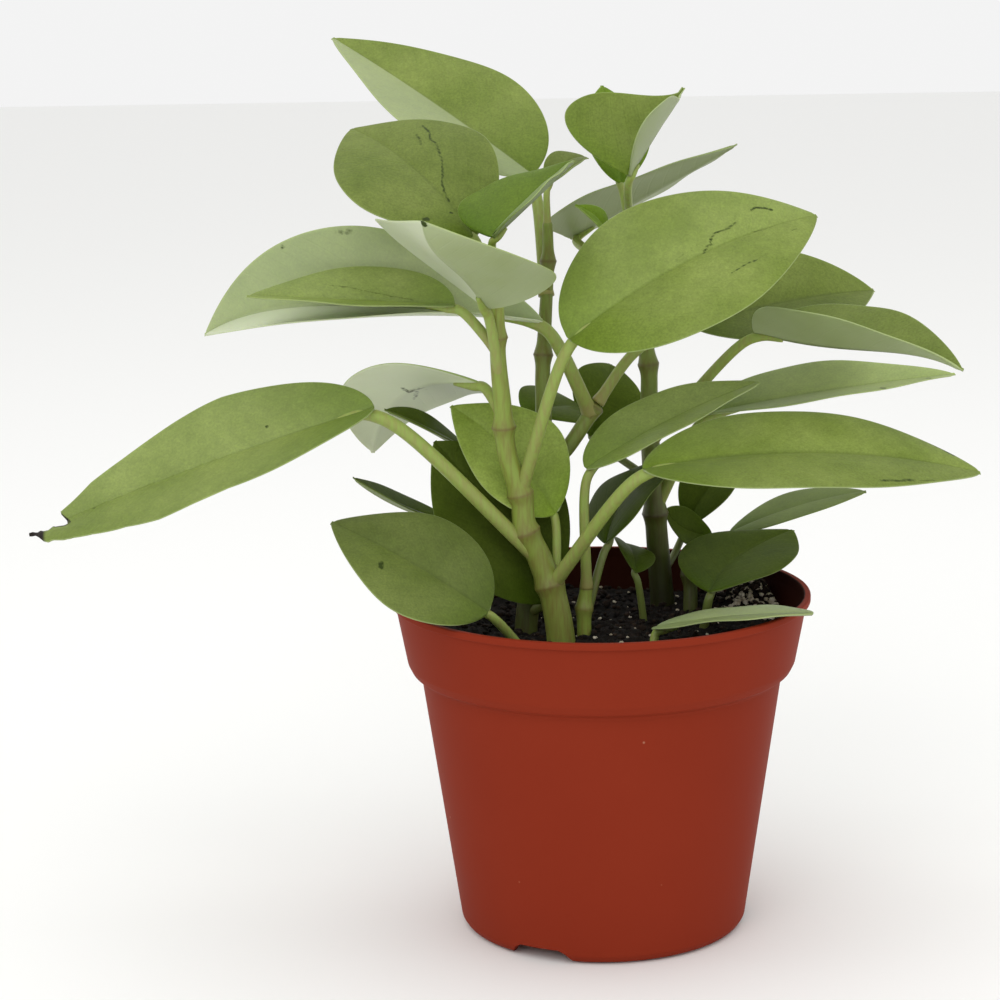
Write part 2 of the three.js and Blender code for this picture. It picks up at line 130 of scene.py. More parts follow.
STEMS = {
    "front": dict(
        points=[(-12, -11, STEM_FOOT_Z), (-12, -11, 88), (-14, -11, 101), (-18, -11, 113), (-22, -12, 122),
                (-23, -12, 131), (-27, -13, 145), (-28, -14, 159), (-29, -14, 172), (-29, -15, 186),
                (-29, -15, 199)],
        foot_radius=4.4, top_radius=1.7, nodes=[105, 121, 132, 152, 178],
        tone=(0.85, 1, 1)),
    "back": dict(
        points=[(-22, 2, STEM_FOOT_Z), (-22, 3, 88), (-20, 5, 105), (-18, 7, 120), (-17, 8, 132),
                (-16, 9, 147), (-16, 10, 164), (-15, 12, 180), (-14, 13, 196), (-14, 14, 208)],
        foot_radius=3.6, top_radius=1.5, nodes=[132, 169, 196],
        tone=(0.35, 0.6, 0.75)),
    "branch": dict(
        points=[(-17, 8, 131), (-14, 9, 136), (-9, 11, 141), (-4, 12, 148), (0, 13, 154)],
        foot_radius=2.2, top_radius=2.2, nodes=[153],
        tone=(0.6, 0.75, 0.9)),
    "right": dict(
        points=[(20, 31, STEM_FOOT_Z), (20, 31, 88), (19, 31, 102), (18, 30, 115), (17, 29, 130),
                (16, 28, 146), (16, 27, 161), (15, 27, 170), (13, 26, 186), (10, 24, 207)],
        foot_radius=3.9, top_radius=1.7, nodes=[117, 145, 163, 189],
        tone=(0.12, 0.62, 0.9)),
    "thin": dict(
        points=[(-5, -4, STEM_FOOT_Z), (-5, -4, 88), (-5, -4, 96), (-4, -4, 104)],
        foot_radius=2.3, top_radius=1.9, nodes=[96],
        tone=(1, 1, 1)),
    "low": dict(
        points=[(28, 23, STEM_FOOT_Z), (28, 23, 88), (28, 24, 96), (27, 25, 105)],
        foot_radius=2.4, top_radius=1.9, nodes=[99],
        tone=(0.3, 0.6, 1)),
}
STEM_PIECES = {"stem_front": ["front"], "stem_back": ["back", "branch"], "stem_right": ["right"],
               "stem_thin": ["thin"], "stem_low": ["low"]}

# ---- Leaves, mm and degrees ----
# The midrib runs from base to tip. roll turns the blade about that line, fold lifts each half from the
# midrib and curl lifts its margin further. bow and sweep arch the midrib, hook lifts its outer part, and
# twist turns the blade from base to tip. widest is where the blade is widest, roundness is the exponent of
# its outline and taper is added to it towards the tip. A stalk starts on a stem at the height joint, or in
# the soil, and may pass a point on its way. Across the blade v runs from -1 to 1. edges is where its two
# margins are, as (u, v, v) points. At tear the margin is torn, and beyond dry the leaf is withered. open
# lowers its half of positive v by that many degrees. fine is how many times finer its grid is, so that thin
# scratches stay sharp. The last three have one value for the half of negative v and one for the other: tone
# lightens or darkens it, partly its own green and partly painted light and shade; pallor whitens its
# underside and bloom its upper side, both a painted sheen.

# the blade's surface, its waving margins, its midrib and its side veins
BLADE_T = 0.9
BLADE_END_HALF_W = 0.7
BLADE_ROWS = 120
BLADE_AROUND = 96
BLADE_END_U = 0.004
THIN_EDGE_HALF_W = 1.5
MARGIN_WAVE = 0.3
MARGIN_WAVE_FULL_W = 40
MARGIN_WAVES = (1.6, 2.6)
HOOK_PEAK = 9.48  # brings the top of u cubed times (1 - u) to 1
RIB_HALF_W = 0.9
RIB_FULL_HALF_W = 4
RIB_FADE = 0.7
GROOVE_DEPTH = 0.28
RIDGE_DEPTH = 0.35
VEIN_SLANT = 0.8
VEIN_BEND = 0.02
SCAR_CORE = 1.4
LEAF_SEED = 100
# the torn tip, in shares of the blade's length and of its half width
TEAR_HALF_W = 0.005
TEAR_LEAN = 0.03
TEAR_LEAN_REACH = 0.02
DRY_FADE = 0.01
TORN_FROM_V = -0.6
TORN_MARGIN_W = 0.18
# the stalk, and the keel that it makes under the blade
STALK_SIDES = 24
STALK_STEP = 0.8
STALK_R = 0.9
STALK_R_PER_LENGTH = 0.0125
STALK_TOP_SHARE = 0.85
KEEL_R = 0.6
KEEL_SHARE = 0.14
KEEL_START = 0.04
KEEL_START_DROP = 0.7
KEEL_END_DROP = 0.3
STALK_BEND = 0.1
STALK_FLARE = 0.25
STALK_FLARE_LENGTH = 2.5
STALK_RING = 0.5
STALK_RING_LENGTH = 4
# painted shade: the stalks of old leaves, deep in the plant, are painted this much darker
OLD_STALK_SHADE = 0.5

FORMS = {
    "flat": dict(fold=12, curl=-15),
    "trough": dict(fold=16, curl=-4),
    "cupped": dict(fold=26, curl=-14),
    "folded": dict(fold=37, curl=0),
}
PLAIN_EDGES = [(0, -1, 1), (1, -1, 1)]
LONG_LEFT_EDGES = [(0, -1, 1), (0.4, -1, 1), (0.5, -1.1, 0.94), (0.6, -1.24, 0.9), (0.7, -1.25, 0.87),
                   (0.8, -1.46, 0.87), (0.884, -1.82, 0.66), (0.892, -1.86, -0.5), (0.9, -2, -0.62),
                   (0.92, -2.2, -0.45), (0.926, -2.3, -0.25), (0.94, -2.8, -0.75), (0.955, -3, -0.7),
                   (0.965, -2.7, -0.2), (0.975, -2.2, -0.5), (0.99, -1.4, 1), (1, -0.6, 1.4)]
LEAF_DEFAULTS = dict(widest=0.47, roundness=0.72, taper=0.13, bow=0, hook=0, sweep=0, twist=0, open=0,
                     edges=PLAIN_EDGES, tear=None, dry=2, finish="grown", fine=1, tone=(1, 1),
                     pallor=(0, 0), upper_painted_sheen=(0, 0))

LEAVES = {
    # on the front stem
    "leaf_young_top": dict(
        base=(-30, -29, 208), tip=(-7, -12, 227), width=44, roll=-10, form="cupped", widest=0.3,
        stem="front", joint=196, finish="young", tone=(0.64, 0.78), upper_painted_sheen=(0, 0.25)),
    "leaf_round_left": dict(
        base=(-35, -8, 206), tip=(-71, 28, 234), width=49, roll=-20, form="flat", bow=5, stem="front",
        joint=184, fine=2, tone=(0.67, 0.65)),
    "leaf_facing_front": dict(
        base=(-32, -20, 187), tip=(-48, -72, 217), width=54, roll=-18, form="cupped", bow=1, hook=-3,
        stem="front", joint=166, open=9, tone=(1.03, 1.05), pallor=(0.2, 0.85)),
    "leaf_narrow_left": dict(
        base=(-41, -13, 187), tip=(-100, -10, 190), width=31, roll=-15, form="cupped", widest=0.38,
        stem="front", joint=174, fine=2, tone=(0.88, 0.92), upper_painted_sheen=(0, 0.06)),
    "leaf_arched_left": dict(
        base=(-34, -4, 163), tip=(-68, 46, 134), width=38, roll=15, form="flat", bow=7, sweep=-7,
        twist=-30, stem="front", joint=155, tone=(1.25, 1.25), pallor=(0.85, 0.85)),
    "leaf_broad_centre": dict(
        base=(-9, -28, 179), tip=(63, 4, 209), width=50, roll=37, form="flat", bow=8, twist=12,
        widest=0.39, roundness=0.66, stem="front", joint=132, fine=2, tone=(0.97, 0.87), upper_painted_sheen=(0.04, 0)),
    "leaf_long_left": dict(
        base=(-64, -24, 160), tip=(-164, -16, 123), width=42, roll=-32, form="trough", bow=2, twist=-12,
        widest=0.39, taper=0.35, stem="front", joint=112, edges=LONG_LEFT_EDGES, tear=0.888, dry=0.945,
        fine=2, tone=(0.84, 0.9), upper_painted_sheen=(0.02, 0.08)),
    "leaf_long_right": dict(
        base=(11, -34, 143), tip=(107, -22, 138), width=41, roll=23, form="flat", bow=6, twist=14,
        widest=0.38, taper=0, stem="front", joint=104, tone=(0.9, 0.77)),
    "leaf_bright_centre": dict(
        base=(-13, -6, 125), tip=(-43, 5, 155), width=31, roll=-44, form="trough", bow=2, sweep=2,
        widest=0.42, stem="front", joint=98, tone=(1.2, 1.2)),
    # on the back stem and its branch
    "leaf_top_left": dict(
        base=(-18, 27, 220), tip=(-78, 66, 259), width=47, roll=-18, form="trough", bow=-1, sweep=3,
        twist=6, widest=0.38, stem="back", joint=186, tone=(0.92, 0.8), upper_painted_sheen=(0.35, 0)),
    "leaf_small_back": dict(
        base=(-14, 14, 218), tip=(-2, 22, 225), width=12, roll=15, form="trough", bow=3, stem="back",
        joint=205, tone=(0.6, 0.6)),
    "leaf_dark_rear": dict(
        base=(-21, 18, 150), tip=(-2, 40, 147), width=26, roll=20, form="flat", bow=2, stem="back",
        joint=144, finish="old", tone=(1.4, 1.4)),
    "leaf_grey_left": dict(
        base=(-37, 22, 137), tip=(-62, 0, 155), width=16, roll=-25, form="trough", bow=1, stem="back",
        joint=118, finish="old", tone=(1.2, 1.2)),
    "leaf_edge_left": dict(
        base=(-44, 18, 118), tip=(-72, 6, 134), width=17, roll=-10, form="trough", bow=-2, stem="back",
        joint=105, finish="old", tone=(1.3, 1.3)),
    "leaf_dark_left": dict(
        base=(-16, -3, 98), tip=(-48, 3, 145), width=43, roll=-50, form="trough", bow=4, stem="back",
        joint=93, finish="old", tone=(1.05, 1.05)),
    "leaf_folded_left": dict(
        base=(-16, 1, 180), tip=(-116, 26, 174), width=47, roll=-46, form="folded", curl=17, bow=8,
        hook=5, twist=-30, widest=0.52, stem="branch", joint=151, tone=(1.12, 1.12), pallor=(1, 0),
        upper_painted_sheen=(0.9, 0.39)),
    "leaf_right_back": dict(
        base=(29, 26, 174), tip=(86, 50, 181), width=38, roll=38, form="trough", bow=3, stem="branch",
        joint=154, via=(12, 16, 169), tone=(0.72, 0.56)),
    # on the right stem
    "leaf_cupped_right": dict(
        base=(9, -2, 222), tip=(26, 17, 245), width=51, roll=0, form="folded", fold=46, twist=22,
        widest=0.28, taper=1, stem="right", joint=203, tone=(0.82, 0.9), pallor=(0, 0.2)),
    "leaf_round_back": dict(
        base=(8, 28, 217), tip=(3, 38, 245), width=23, roll=5, form="flat", bow=2, stem="right",
        joint=199, finish="young", tone=(0.85, 0.85)),
    "leaf_long_back": dict(
        base=(-6, 66, 197), tip=(43, 38, 227), width=44, roll=-6, form="cupped", fold=17, widest=0.22,
        stem="right", joint=189, tone=(0.87, 0.87), pallor=(0.15, 0.15)),
    "leaf_bud_right": dict(
        base=(3, 18, 201), tip=(-6, 14, 212), width=8, roll=-50, form="trough", bow=3, stem="right",
        joint=197, finish="young"),
    "leaf_folded_right": dict(
        base=(46, 10, 175), tip=(101, -26, 168), width=37, roll=0, form="folded", fold=36, bow=-1, hook=3,
        twist=20, widest=0.34, stem="right", joint=139, tone=(0.7, 1.03), pallor=(0, 0.06)),
    "leaf_middle_right": dict(
        base=(33, 26, 148), tip=(109, 36, 157), width=33, roll=10, form="trough", bow=1, widest=0.42,
        stem="right", joint=118, tone=(1.25, 1.1), upper_painted_sheen=(0.15, 0.1)),
    "leaf_round_rear": dict(
        base=(-1, 44, 138), tip=(6, 66, 157), width=23, roll=30, form="trough", bow=4, stem="right",
        joint=127, finish="old", tone=(1.5, 1.5)),
    # on the thin stem
    "leaf_rising_right": dict(
        base=(-4, -6, 138), tip=(47, 8, 160), width=28, roll=12, form="trough", bow=2, widest=0.4,
        roundness=0.6, stem="thin", joint=102, upper_painted_sheen=(0.05, 0.03)),
    "leaf_shaded_centre": dict(
        base=(2, 2, 114), tip=(24, 18, 137), width=38, roll=-15, form="flat", bow=3, sweep=-4,
        stem="thin", joint=91, finish="old", tone=(0.85, 0.85)),
    # on the low stem
    "leaf_low_back": dict(
        base=(42, 50, 106), tip=(84, 47, 119), width=19, roll=14, form="flat", bow=2, stem="low",
        joint=97, via=(38, 34, 100), finish="old", tone=(1.7, 1.7), upper_painted_sheen=(0.1, 0.1)),
    "leaf_shaded_right": dict(
        base=(29, 48, 109), tip=(46, 60, 125), width=19, roll=20, form="trough", bow=5, stem="right",
        joint=97, via=(24, 41, 101), finish="old"),
    "leaf_shaded_small": dict(
        base=(36, 41, 107), tip=(21, 34, 117), width=14, roll=-50, form="trough", bow=-3, stem="low",
        joint=103, finish="old"),
    # straight out of the soil
    "leaf_low_left": dict(
        base=(-33, -35, 103), tip=(-77, -24, 127), width=41, roll=-27, form="flat", bow=5, sweep=-3,
        widest=0.4, soil=(-20, -15), tone=(0.6, 0.53), upper_painted_sheen=(0.03, 0.05)),
    "leaf_low_right": dict(
        base=(32, -3, 100), tip=(60, 34, 110), width=36, roll=3, form="flat", sweep=-5, twist=12,
        soil=(30, 5), finish="old", tone=(1.15, 1.3)),
    "leaf_over_rim": dict(
        base=(15, -25, 95), tip=(58, -39, 102), width=30, roll=-5, form="flat", bow=1, widest=0.36,
        roundness=0.42, soil=(14, -28), tone=(1.1, 0.85), upper_painted_sheen=(0.25, 0.1)),
    "leaf_shaded_stub": dict(
        base=(11, 11, 103), tip=(8, 33, 107), width=14, roll=26, form="trough", bow=2, soil=(14, 14),
        finish="old"),
}

# Scars of the leaves, on the face named: each is a line of (u, v) points with its width in mm and its depth.
MARKS = {
    "leaf_round_left": [
        ("upper", 0.45, 0.8, [(0.72, 0.72), (0.65, 0.6), (0.61, 0.49), (0.55, 0.46), (0.49, 0.38),
                              (0.43, 0.31), (0.37, 0.21), (0.32, 0.11), (0.28, 0.07), (0.22, 0.02)]),
        ("upper", 0.6, 0.6, [(0.68, 0.46), (0.65, 0.42), (0.6, 0.33)]),
        ("upper", 0.4, 0.4, [(0.55, -0.42), (0.5, -0.4), (0.42, -0.39)]),
        ("upper", 0.4, 0.4, [(0.66, -0.5), (0.6, -0.46), (0.56, -0.5)]),
        ("upper", 0.35, 0.4, [(0.38, -0.36), (0.3, -0.3), (0.24, -0.27)]),
        ("upper", 0.8, 1, [(0.17, -0.68), (0.165, -0.63)]),
        ("upper", 0.45, 0.9, [(0.155, -0.14), (0.15, -0.12)]),
    ],
    "leaf_broad_centre": [
        ("upper", 0.5, 0.9, [(0.78, -0.47), (0.8, -0.53), (0.83, -0.52), (0.85, -0.46)]),
        ("upper", 0.5, 0.75, [(0.53, 0), (0.55, -0.05), (0.57, -0.06), (0.585, -0.14), (0.61, -0.2),
                              (0.66, -0.2), (0.7, -0.26)]),
        ("upper", 0.5, 0.5, [(0.44, -0.08), (0.48, -0.1)]),
        ("upper", 0.35, 0.6, [(0.73, -0.02), (0.77, 0.03), (0.81, 0.03)]),
        ("upper", 0.4, 0.7, [(0.55, 0.5), (0.6, 0.49), (0.66, 0.53)]),
        ("upper", 0.35, 0.5, [(0.86, 0.38), (0.88, 0.42)]),
        ("upper", 0.4, 0.5, [(0.5, -0.1), (0.53, -0.13)]),
    ],
    "leaf_facing_front": [
        ("under", 0.7, 1, [(0.985, -0.3), (1, 0)]),
        ("upper", 0.7, 1, [(0.985, 0), (1, 0)]),
    ],
    "leaf_narrow_left": [
        ("upper", 0.35, 0.6, [(0.61, 0.42), (0.52, 0.34), (0.46, 0.27), (0.31, 0.14), (0.2, 0.08)]),
    ],
    "leaf_folded_left": [
        ("upper", 1.3, 0.45, [(0.55, 0.93), (0.51, 0.93)]),
        ("upper", 0.7, 0.8, [(0.71, 0.94), (0.705, 0.9)]),
    ],
    "leaf_arched_left": [
        ("under", 1.1, 0.65, [(0.44, -0.13), (0.45, 0.01), (0.36, 0.04)]),
        ("under", 1, 0.6, [(0.44, 0.1), (0.52, 0.26), (0.56, 0.31)]),
        ("under", 0.7, 0.5, [(0.39, 0.17), (0.4, 0.2)]),
    ],
    "leaf_cupped_right": [
        ("upper", 0.8, 1, [(0.08, 0.02), (0.17, 0.03)]),
        ("under", 0.8, 1, [(0.08, 0.02), (0.17, 0.03)]),
    ],
    "leaf_middle_right": [
        ("upper", 0.8, 1, [(0.66, 0.9), (0.67, 0.95)]),
        ("upper", 0.8, 1, [(0.87, 0.8), (0.875, 0.9)]),
    ],
    "leaf_long_right": [
        ("upper", 0.5, 0.9, [(0.86, -0.98), (0.9, -0.97)]),
        ("upper", 0.9, 1, [(0.905, -0.97), (0.925, -0.93)]),
        ("upper", 0.5, 0.7, [(0.66, 0.84), (0.73, 0.87)]),
        ("upper", 0.7, 0.7, [(0.73, 0.85), (0.77, 0.87)]),
        ("upper", 0.35, 0.6, [(0.79, 0.9), (0.84, 0.94)]),
    ],
    "leaf_long_left": [
        ("upper", 0.6, 0.8, [(0.8, -0.1), (0.803, -0.1)]),
        ("upper", 0.6, 0.7, [(0.29, 0.25), (0.293, 0.25)]),
        ("upper", 0.5, 0.5, [(0.57, -0.3), (0.573, -0.33)]),
        ("upper", 0.5, 0.6, [(0.86, -1.8), (0.863, -1.8)]),
    ],
    "leaf_low_left": [
        ("upper", 0.9, 1, [(0.615, -0.42), (0.6, -0.5)]),
        ("upper", 0.5, 0.5, [(0.56, 0.2), (0.563, 0.2)]),
        ("upper", 0.5, 0.4, [(0.42, -0.28), (0.423, -0.28)]),
    ],
}


# ---- Shapes ----

CURVE_POINTS = 60  # between two points of a smooth path
CORNER_POINTS = 5  # of a rounded corner


def unit(vectors):
    """The vectors at length one."""
    return vectors / np.linalg.norm(vectors, axis=-1, keepdims=True)


def skin(rings, ends, values=None, material=0):
    """A closed surface through rings of points, shape (rings, points, 3): quads join each ring to the next,
    and a fan joins the first and the last ring to the two end points. Its faces point outwards, which is
    where the volume under them sums to more than nothing."""
    count, around = rings.shape[:2]
    here = np.arange(count * around).reshape(count, around)
    after = np.roll(here, -1, axis=1)
    quads = np.stack([here[:-1], after[:-1], after[1:], here[1:]], axis=-1).reshape(-1, 4)
    first, last = np.full(around, count * around), np.full(around, count * around + 1)
    fans = np.concatenate([np.stack([after[0], here[0], first], axis=-1),
                           np.stack([here[-1], after[-1], last], axis=-1)])
    points = np.vstack([rings.reshape(-1, 3), np.asarray(ends, float)])
    a, b, c, d = (points[quads[:, i]] - points[0] for i in range(4))
    if (np.cross(a, b) * c + np.cross(a, c) * d).sum() < 0:
        quads, fans = quads[:, ::-1], fans[:, ::-1]
    filled = {}
    for name, value in (values or {}).items():
        flat = np.broadcast_to(value, (count, around)).reshape(-1)
        filled[name] = np.concatenate([flat, [flat[:around].mean(), flat[-around:].mean()]])
    return dict(points=points, quads=quads, fans=fans, values=filled, material=material)


def joined(shells):
    """Several skins as one: their points and faces in one list, each with its own material."""
    points, quads, fans, quad_materials, fan_materials = [], [], [], [], []
    names = sorted({name for shell in shells for name in shell["values"]})
    values = {name: [] for name in names}
    start = 0
    for shell in shells:
        points.append(shell["points"])
        quads.append(shell["quads"] + start)
        fans.append(shell["fans"] + start)
        quad_materials.append(np.full(len(shell["quads"]), shell["material"]))
        fan_materials.append(np.full(len(shell["fans"]), shell["material"]))
        for name in names:
            values[name].append(shell["values"].get(name, np.zeros(len(shell["points"]))))
        start += len(shell["points"])
    return dict(points=np.vstack(points), quads=np.vstack(quads), fans=np.vstack(fans),
                values={name: np.concatenate(parts) for name, parts in values.items()},
                material=np.concatenate(quad_materials + fan_materials))


def add_object(name, data):
    """Puts an object with the given data into the scene."""
    added = bpy.data.objects.new(name, data)
    bpy.context.scene.collection.objects.link(added)
    return added


def add_shell(name, shell, materials):
    """Puts a shell into a mesh object, in metres, with its values as attributes of its points."""
    mesh = bpy.data.meshes.new(name)
    faces = [shell["quads"], shell["fans"]]
    sizes = np.concatenate([np.full(len(part), part.shape[1]) for part in faces])
    corners = np.concatenate([part.ravel() for part in faces])
    mesh.vertices.add(len(shell["points"]))
    mesh.vertices.foreach_set("co", (shell["points"] * MM).astype(np.float32).ravel())
    mesh.loops.add(len(corners))
    mesh.loops.foreach_set("vertex_index", corners.astype(np.int32))
    mesh.polygons.add(len(sizes))
    mesh.polygons.foreach_set("loop_start", (np.cumsum(sizes) - sizes).astype(np.int32))
    mesh.polygons.foreach_set("use_smooth", np.ones(len(sizes), bool))
    for material in materials:
        mesh.materials.append(material)
    material_index = np.broadcast_to(shell["material"], len(sizes)).astype(np.int32)
    mesh.polygons.foreach_set("material_index", material_index)
    for key, value in shell["values"].items():
        attribute = mesh.attributes.new(key, "FLOAT", "POINT")
        attribute.data.foreach_set("value", value.astype(np.float32))
    mesh.update(calc_edges=True)
    mesh.validate()
    return add_object(name, mesh)


def add_piece(name, shell, materials, stands_for=None):
    """A shell as a piece of the plant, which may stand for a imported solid."""
    piece = add_shell(name, shell, materials)
    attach(piece, BODY)
    if stands_for:
        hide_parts(stands_for)
    return piece


def smooth_path(points, step):
    """A centripetal Catmull-Rom curve through the points, as points a step apart: between two points it is
    the cubic whose end slopes come from the neighbours, weighed by the square roots of the distances."""
    p = np.asarray(points, float)
    p = np.vstack([2 * p[0] - p[1], p, 2 * p[-1] - p[-2]])
    gaps = np.sqrt(np.linalg.norm(np.diff(p, axis=0), axis=1))[:, None]
    before, between, beyond = gaps[:-2], gaps[1:-1], gaps[2:]
    p0, p1, p2, p3 = p[:-3], p[1:-2], p[2:-1], p[3:]
    leave = ((p1 - p0) / before - (p2 - p0) / (before + between) + (p2 - p1) / between) * between
    reach = ((p2 - p1) / between - (p3 - p1) / (between + beyond) + (p3 - p2) / beyond) * between
    w = np.linspace(0, 1, CURVE_POINTS, endpoint=False)[None, :, None]
    p1, p2, leave, reach = (a[:, None, :] for a in (p1, p2, leave, reach))
    dense = (p1 + leave * w + (3 * (p2 - p1) - 2 * leave - reach) * w**2
             + (2 * (p1 - p2) + leave + reach) * w**3)
    dense = np.vstack([dense.reshape(-1, 3), p[-2]])
    run = np.concatenate([[0], np.cumsum(np.linalg.norm(np.diff(dense, axis=0), axis=1))])
    at = np.linspace(0, run[-1], max(8, round(run[-1] / step)))
    return np.stack([np.interp(at, run, dense[:, i]) for i in range(3)], axis=1), at / run[-1]


def tube(path, radius, sides, values=None, material=0):
    """A round bar: at each point of the path a ring of the given radius, square to the path, started from
    the axis that the path runs least along. radius has one number for each ring, or one for each point."""
    tangent = unit(np.gradient(path, axis=0))
    axis = np.eye(3)[np.argmin(np.abs(tangent).max(axis=0))]
    side = unit(np.cross(tangent, axis))
    rise = np.cross(side, tangent)
    turn = np.linspace(0, 2 * np.pi, sides, endpoint=False)[None, :, None]
    radius = np.asarray(radius, float)
    radius = radius[:, None, None] if radius.ndim == 1 else radius[:, :, None]
    rings = path[:, None] + radius * (side[:, None] * np.cos(turn) + rise[:, None] * np.sin(turn))
    return skin(rings, [path[0], path[-1]], values, material)


def lathe(profile, sides):
    """A profile of (radius, height) points turned about the Z axis. It starts and ends on the axis."""
    r, z = np.asarray(profile, float).T
    turn = np.linspace(0, 2 * np.pi, sides, endpoint=False)
    rings = np.stack([r[1:-1, None] * np.cos(turn), r[1:-1, None] * np.sin(turn),
                      np.repeat(z[1:-1, None], sides, axis=1)], axis=-1)
    return skin(rings, [(0, 0, z[0]), (0, 0, z[-1])])


def rounded(profile, radius):
    """A profile with each inner corner replaced by a short quadratic curve that leaves and joins its two
    sides at the given radius from the corner, or at a third of the side where that is shorter."""
    p = np.asarray(profile, float)
    out = [p[0]]
    for before, corner, after in zip(p[:-2], p[1:-1], p[2:]):
        back, ahead = before - corner, after - corner
        back *= min(1 / 3, radius / np.linalg.norm(back))
        ahead *= min(1 / 3, radius / np.linalg.norm(ahead))
        for w in np.linspace(0, 1, CORNER_POINTS):
            out.append(corner + back * (1 - w) ** 2 + ahead * w**2)
    return np.array(out + [p[-1]])


def ripple(x, y, waves, rng):
    """Uneven ground: for each (length, height) pair, the sum of sine waves in a few seeded directions, whose
    lengths vary by a third."""
    total = np.zeros_like(x)
    for length, height in waves:
        for _ in range(WAVE_DIRECTIONS):
            direction, phase = rng.uniform(0, 2 * np.pi, 2)
            total += height * np.sin((x * np.cos(direction) + y * np.sin(direction)) * 2 * np.pi
                                     / (length * rng.uniform(0.7, 1.3)) + phase) / WAVE_CALM
    return total


# ---- Materials ----

MIX_A, MIX_B = 6, 7  # the two colours that a Mix node mixes
COLOURS = dict(out=2, data_type="RGBA")  # sets a Mix node to mix colours
UNDER_HAZE, UNDER_RIB = "#B9C2A3", "#6F7F4A"
# PAINTED_SHEEN is a painted sheen: a whitish colour that stands in for light reflected off the leaves
PAINTED_SHEEN, SCAR, WITHERED = "#C4CBB0", "#36431A", "#1C140E"


def colour(hex_code):
    """An sRGB hex colour as linear red, green, blue and alpha."""
    channels = [int(hex_code[i:i + 2], 16) / 255 for i in (1, 3, 5)]
    return [c / 12.92 if c <= 0.04045 else ((c + 0.055) / 1.055) ** 2.4 for c in channels] + [1]


def add(tree, kind, inputs=None, out=0, **settings):
    """Adds a node with its settings, and returns one of its outputs. Each input is a value, or the output of
    another node to link."""
    made = tree.nodes.new("ShaderNode" + kind)
    for key, value in settings.items():
        setattr(made, key, value)
    for key, value in (inputs or {}).items():
        if isinstance(value, bpy.types.NodeSocket):
            tree.links.new(value, made.inputs[key])
        else:
            made.inputs[key].default_value = value
    return made.outputs[out]


def new_material(name, values):
    """A material whose Principled shader has the given values, its node tree and the shader's inputs."""
    material = bpy.data.materials.new(name)
    material.use_nodes = True
    shader = material.node_tree.nodes["Principled BSDF"].inputs
    for key, value in values.items():
        shader[key].default_value = value
    return material, material.node_tree, shader


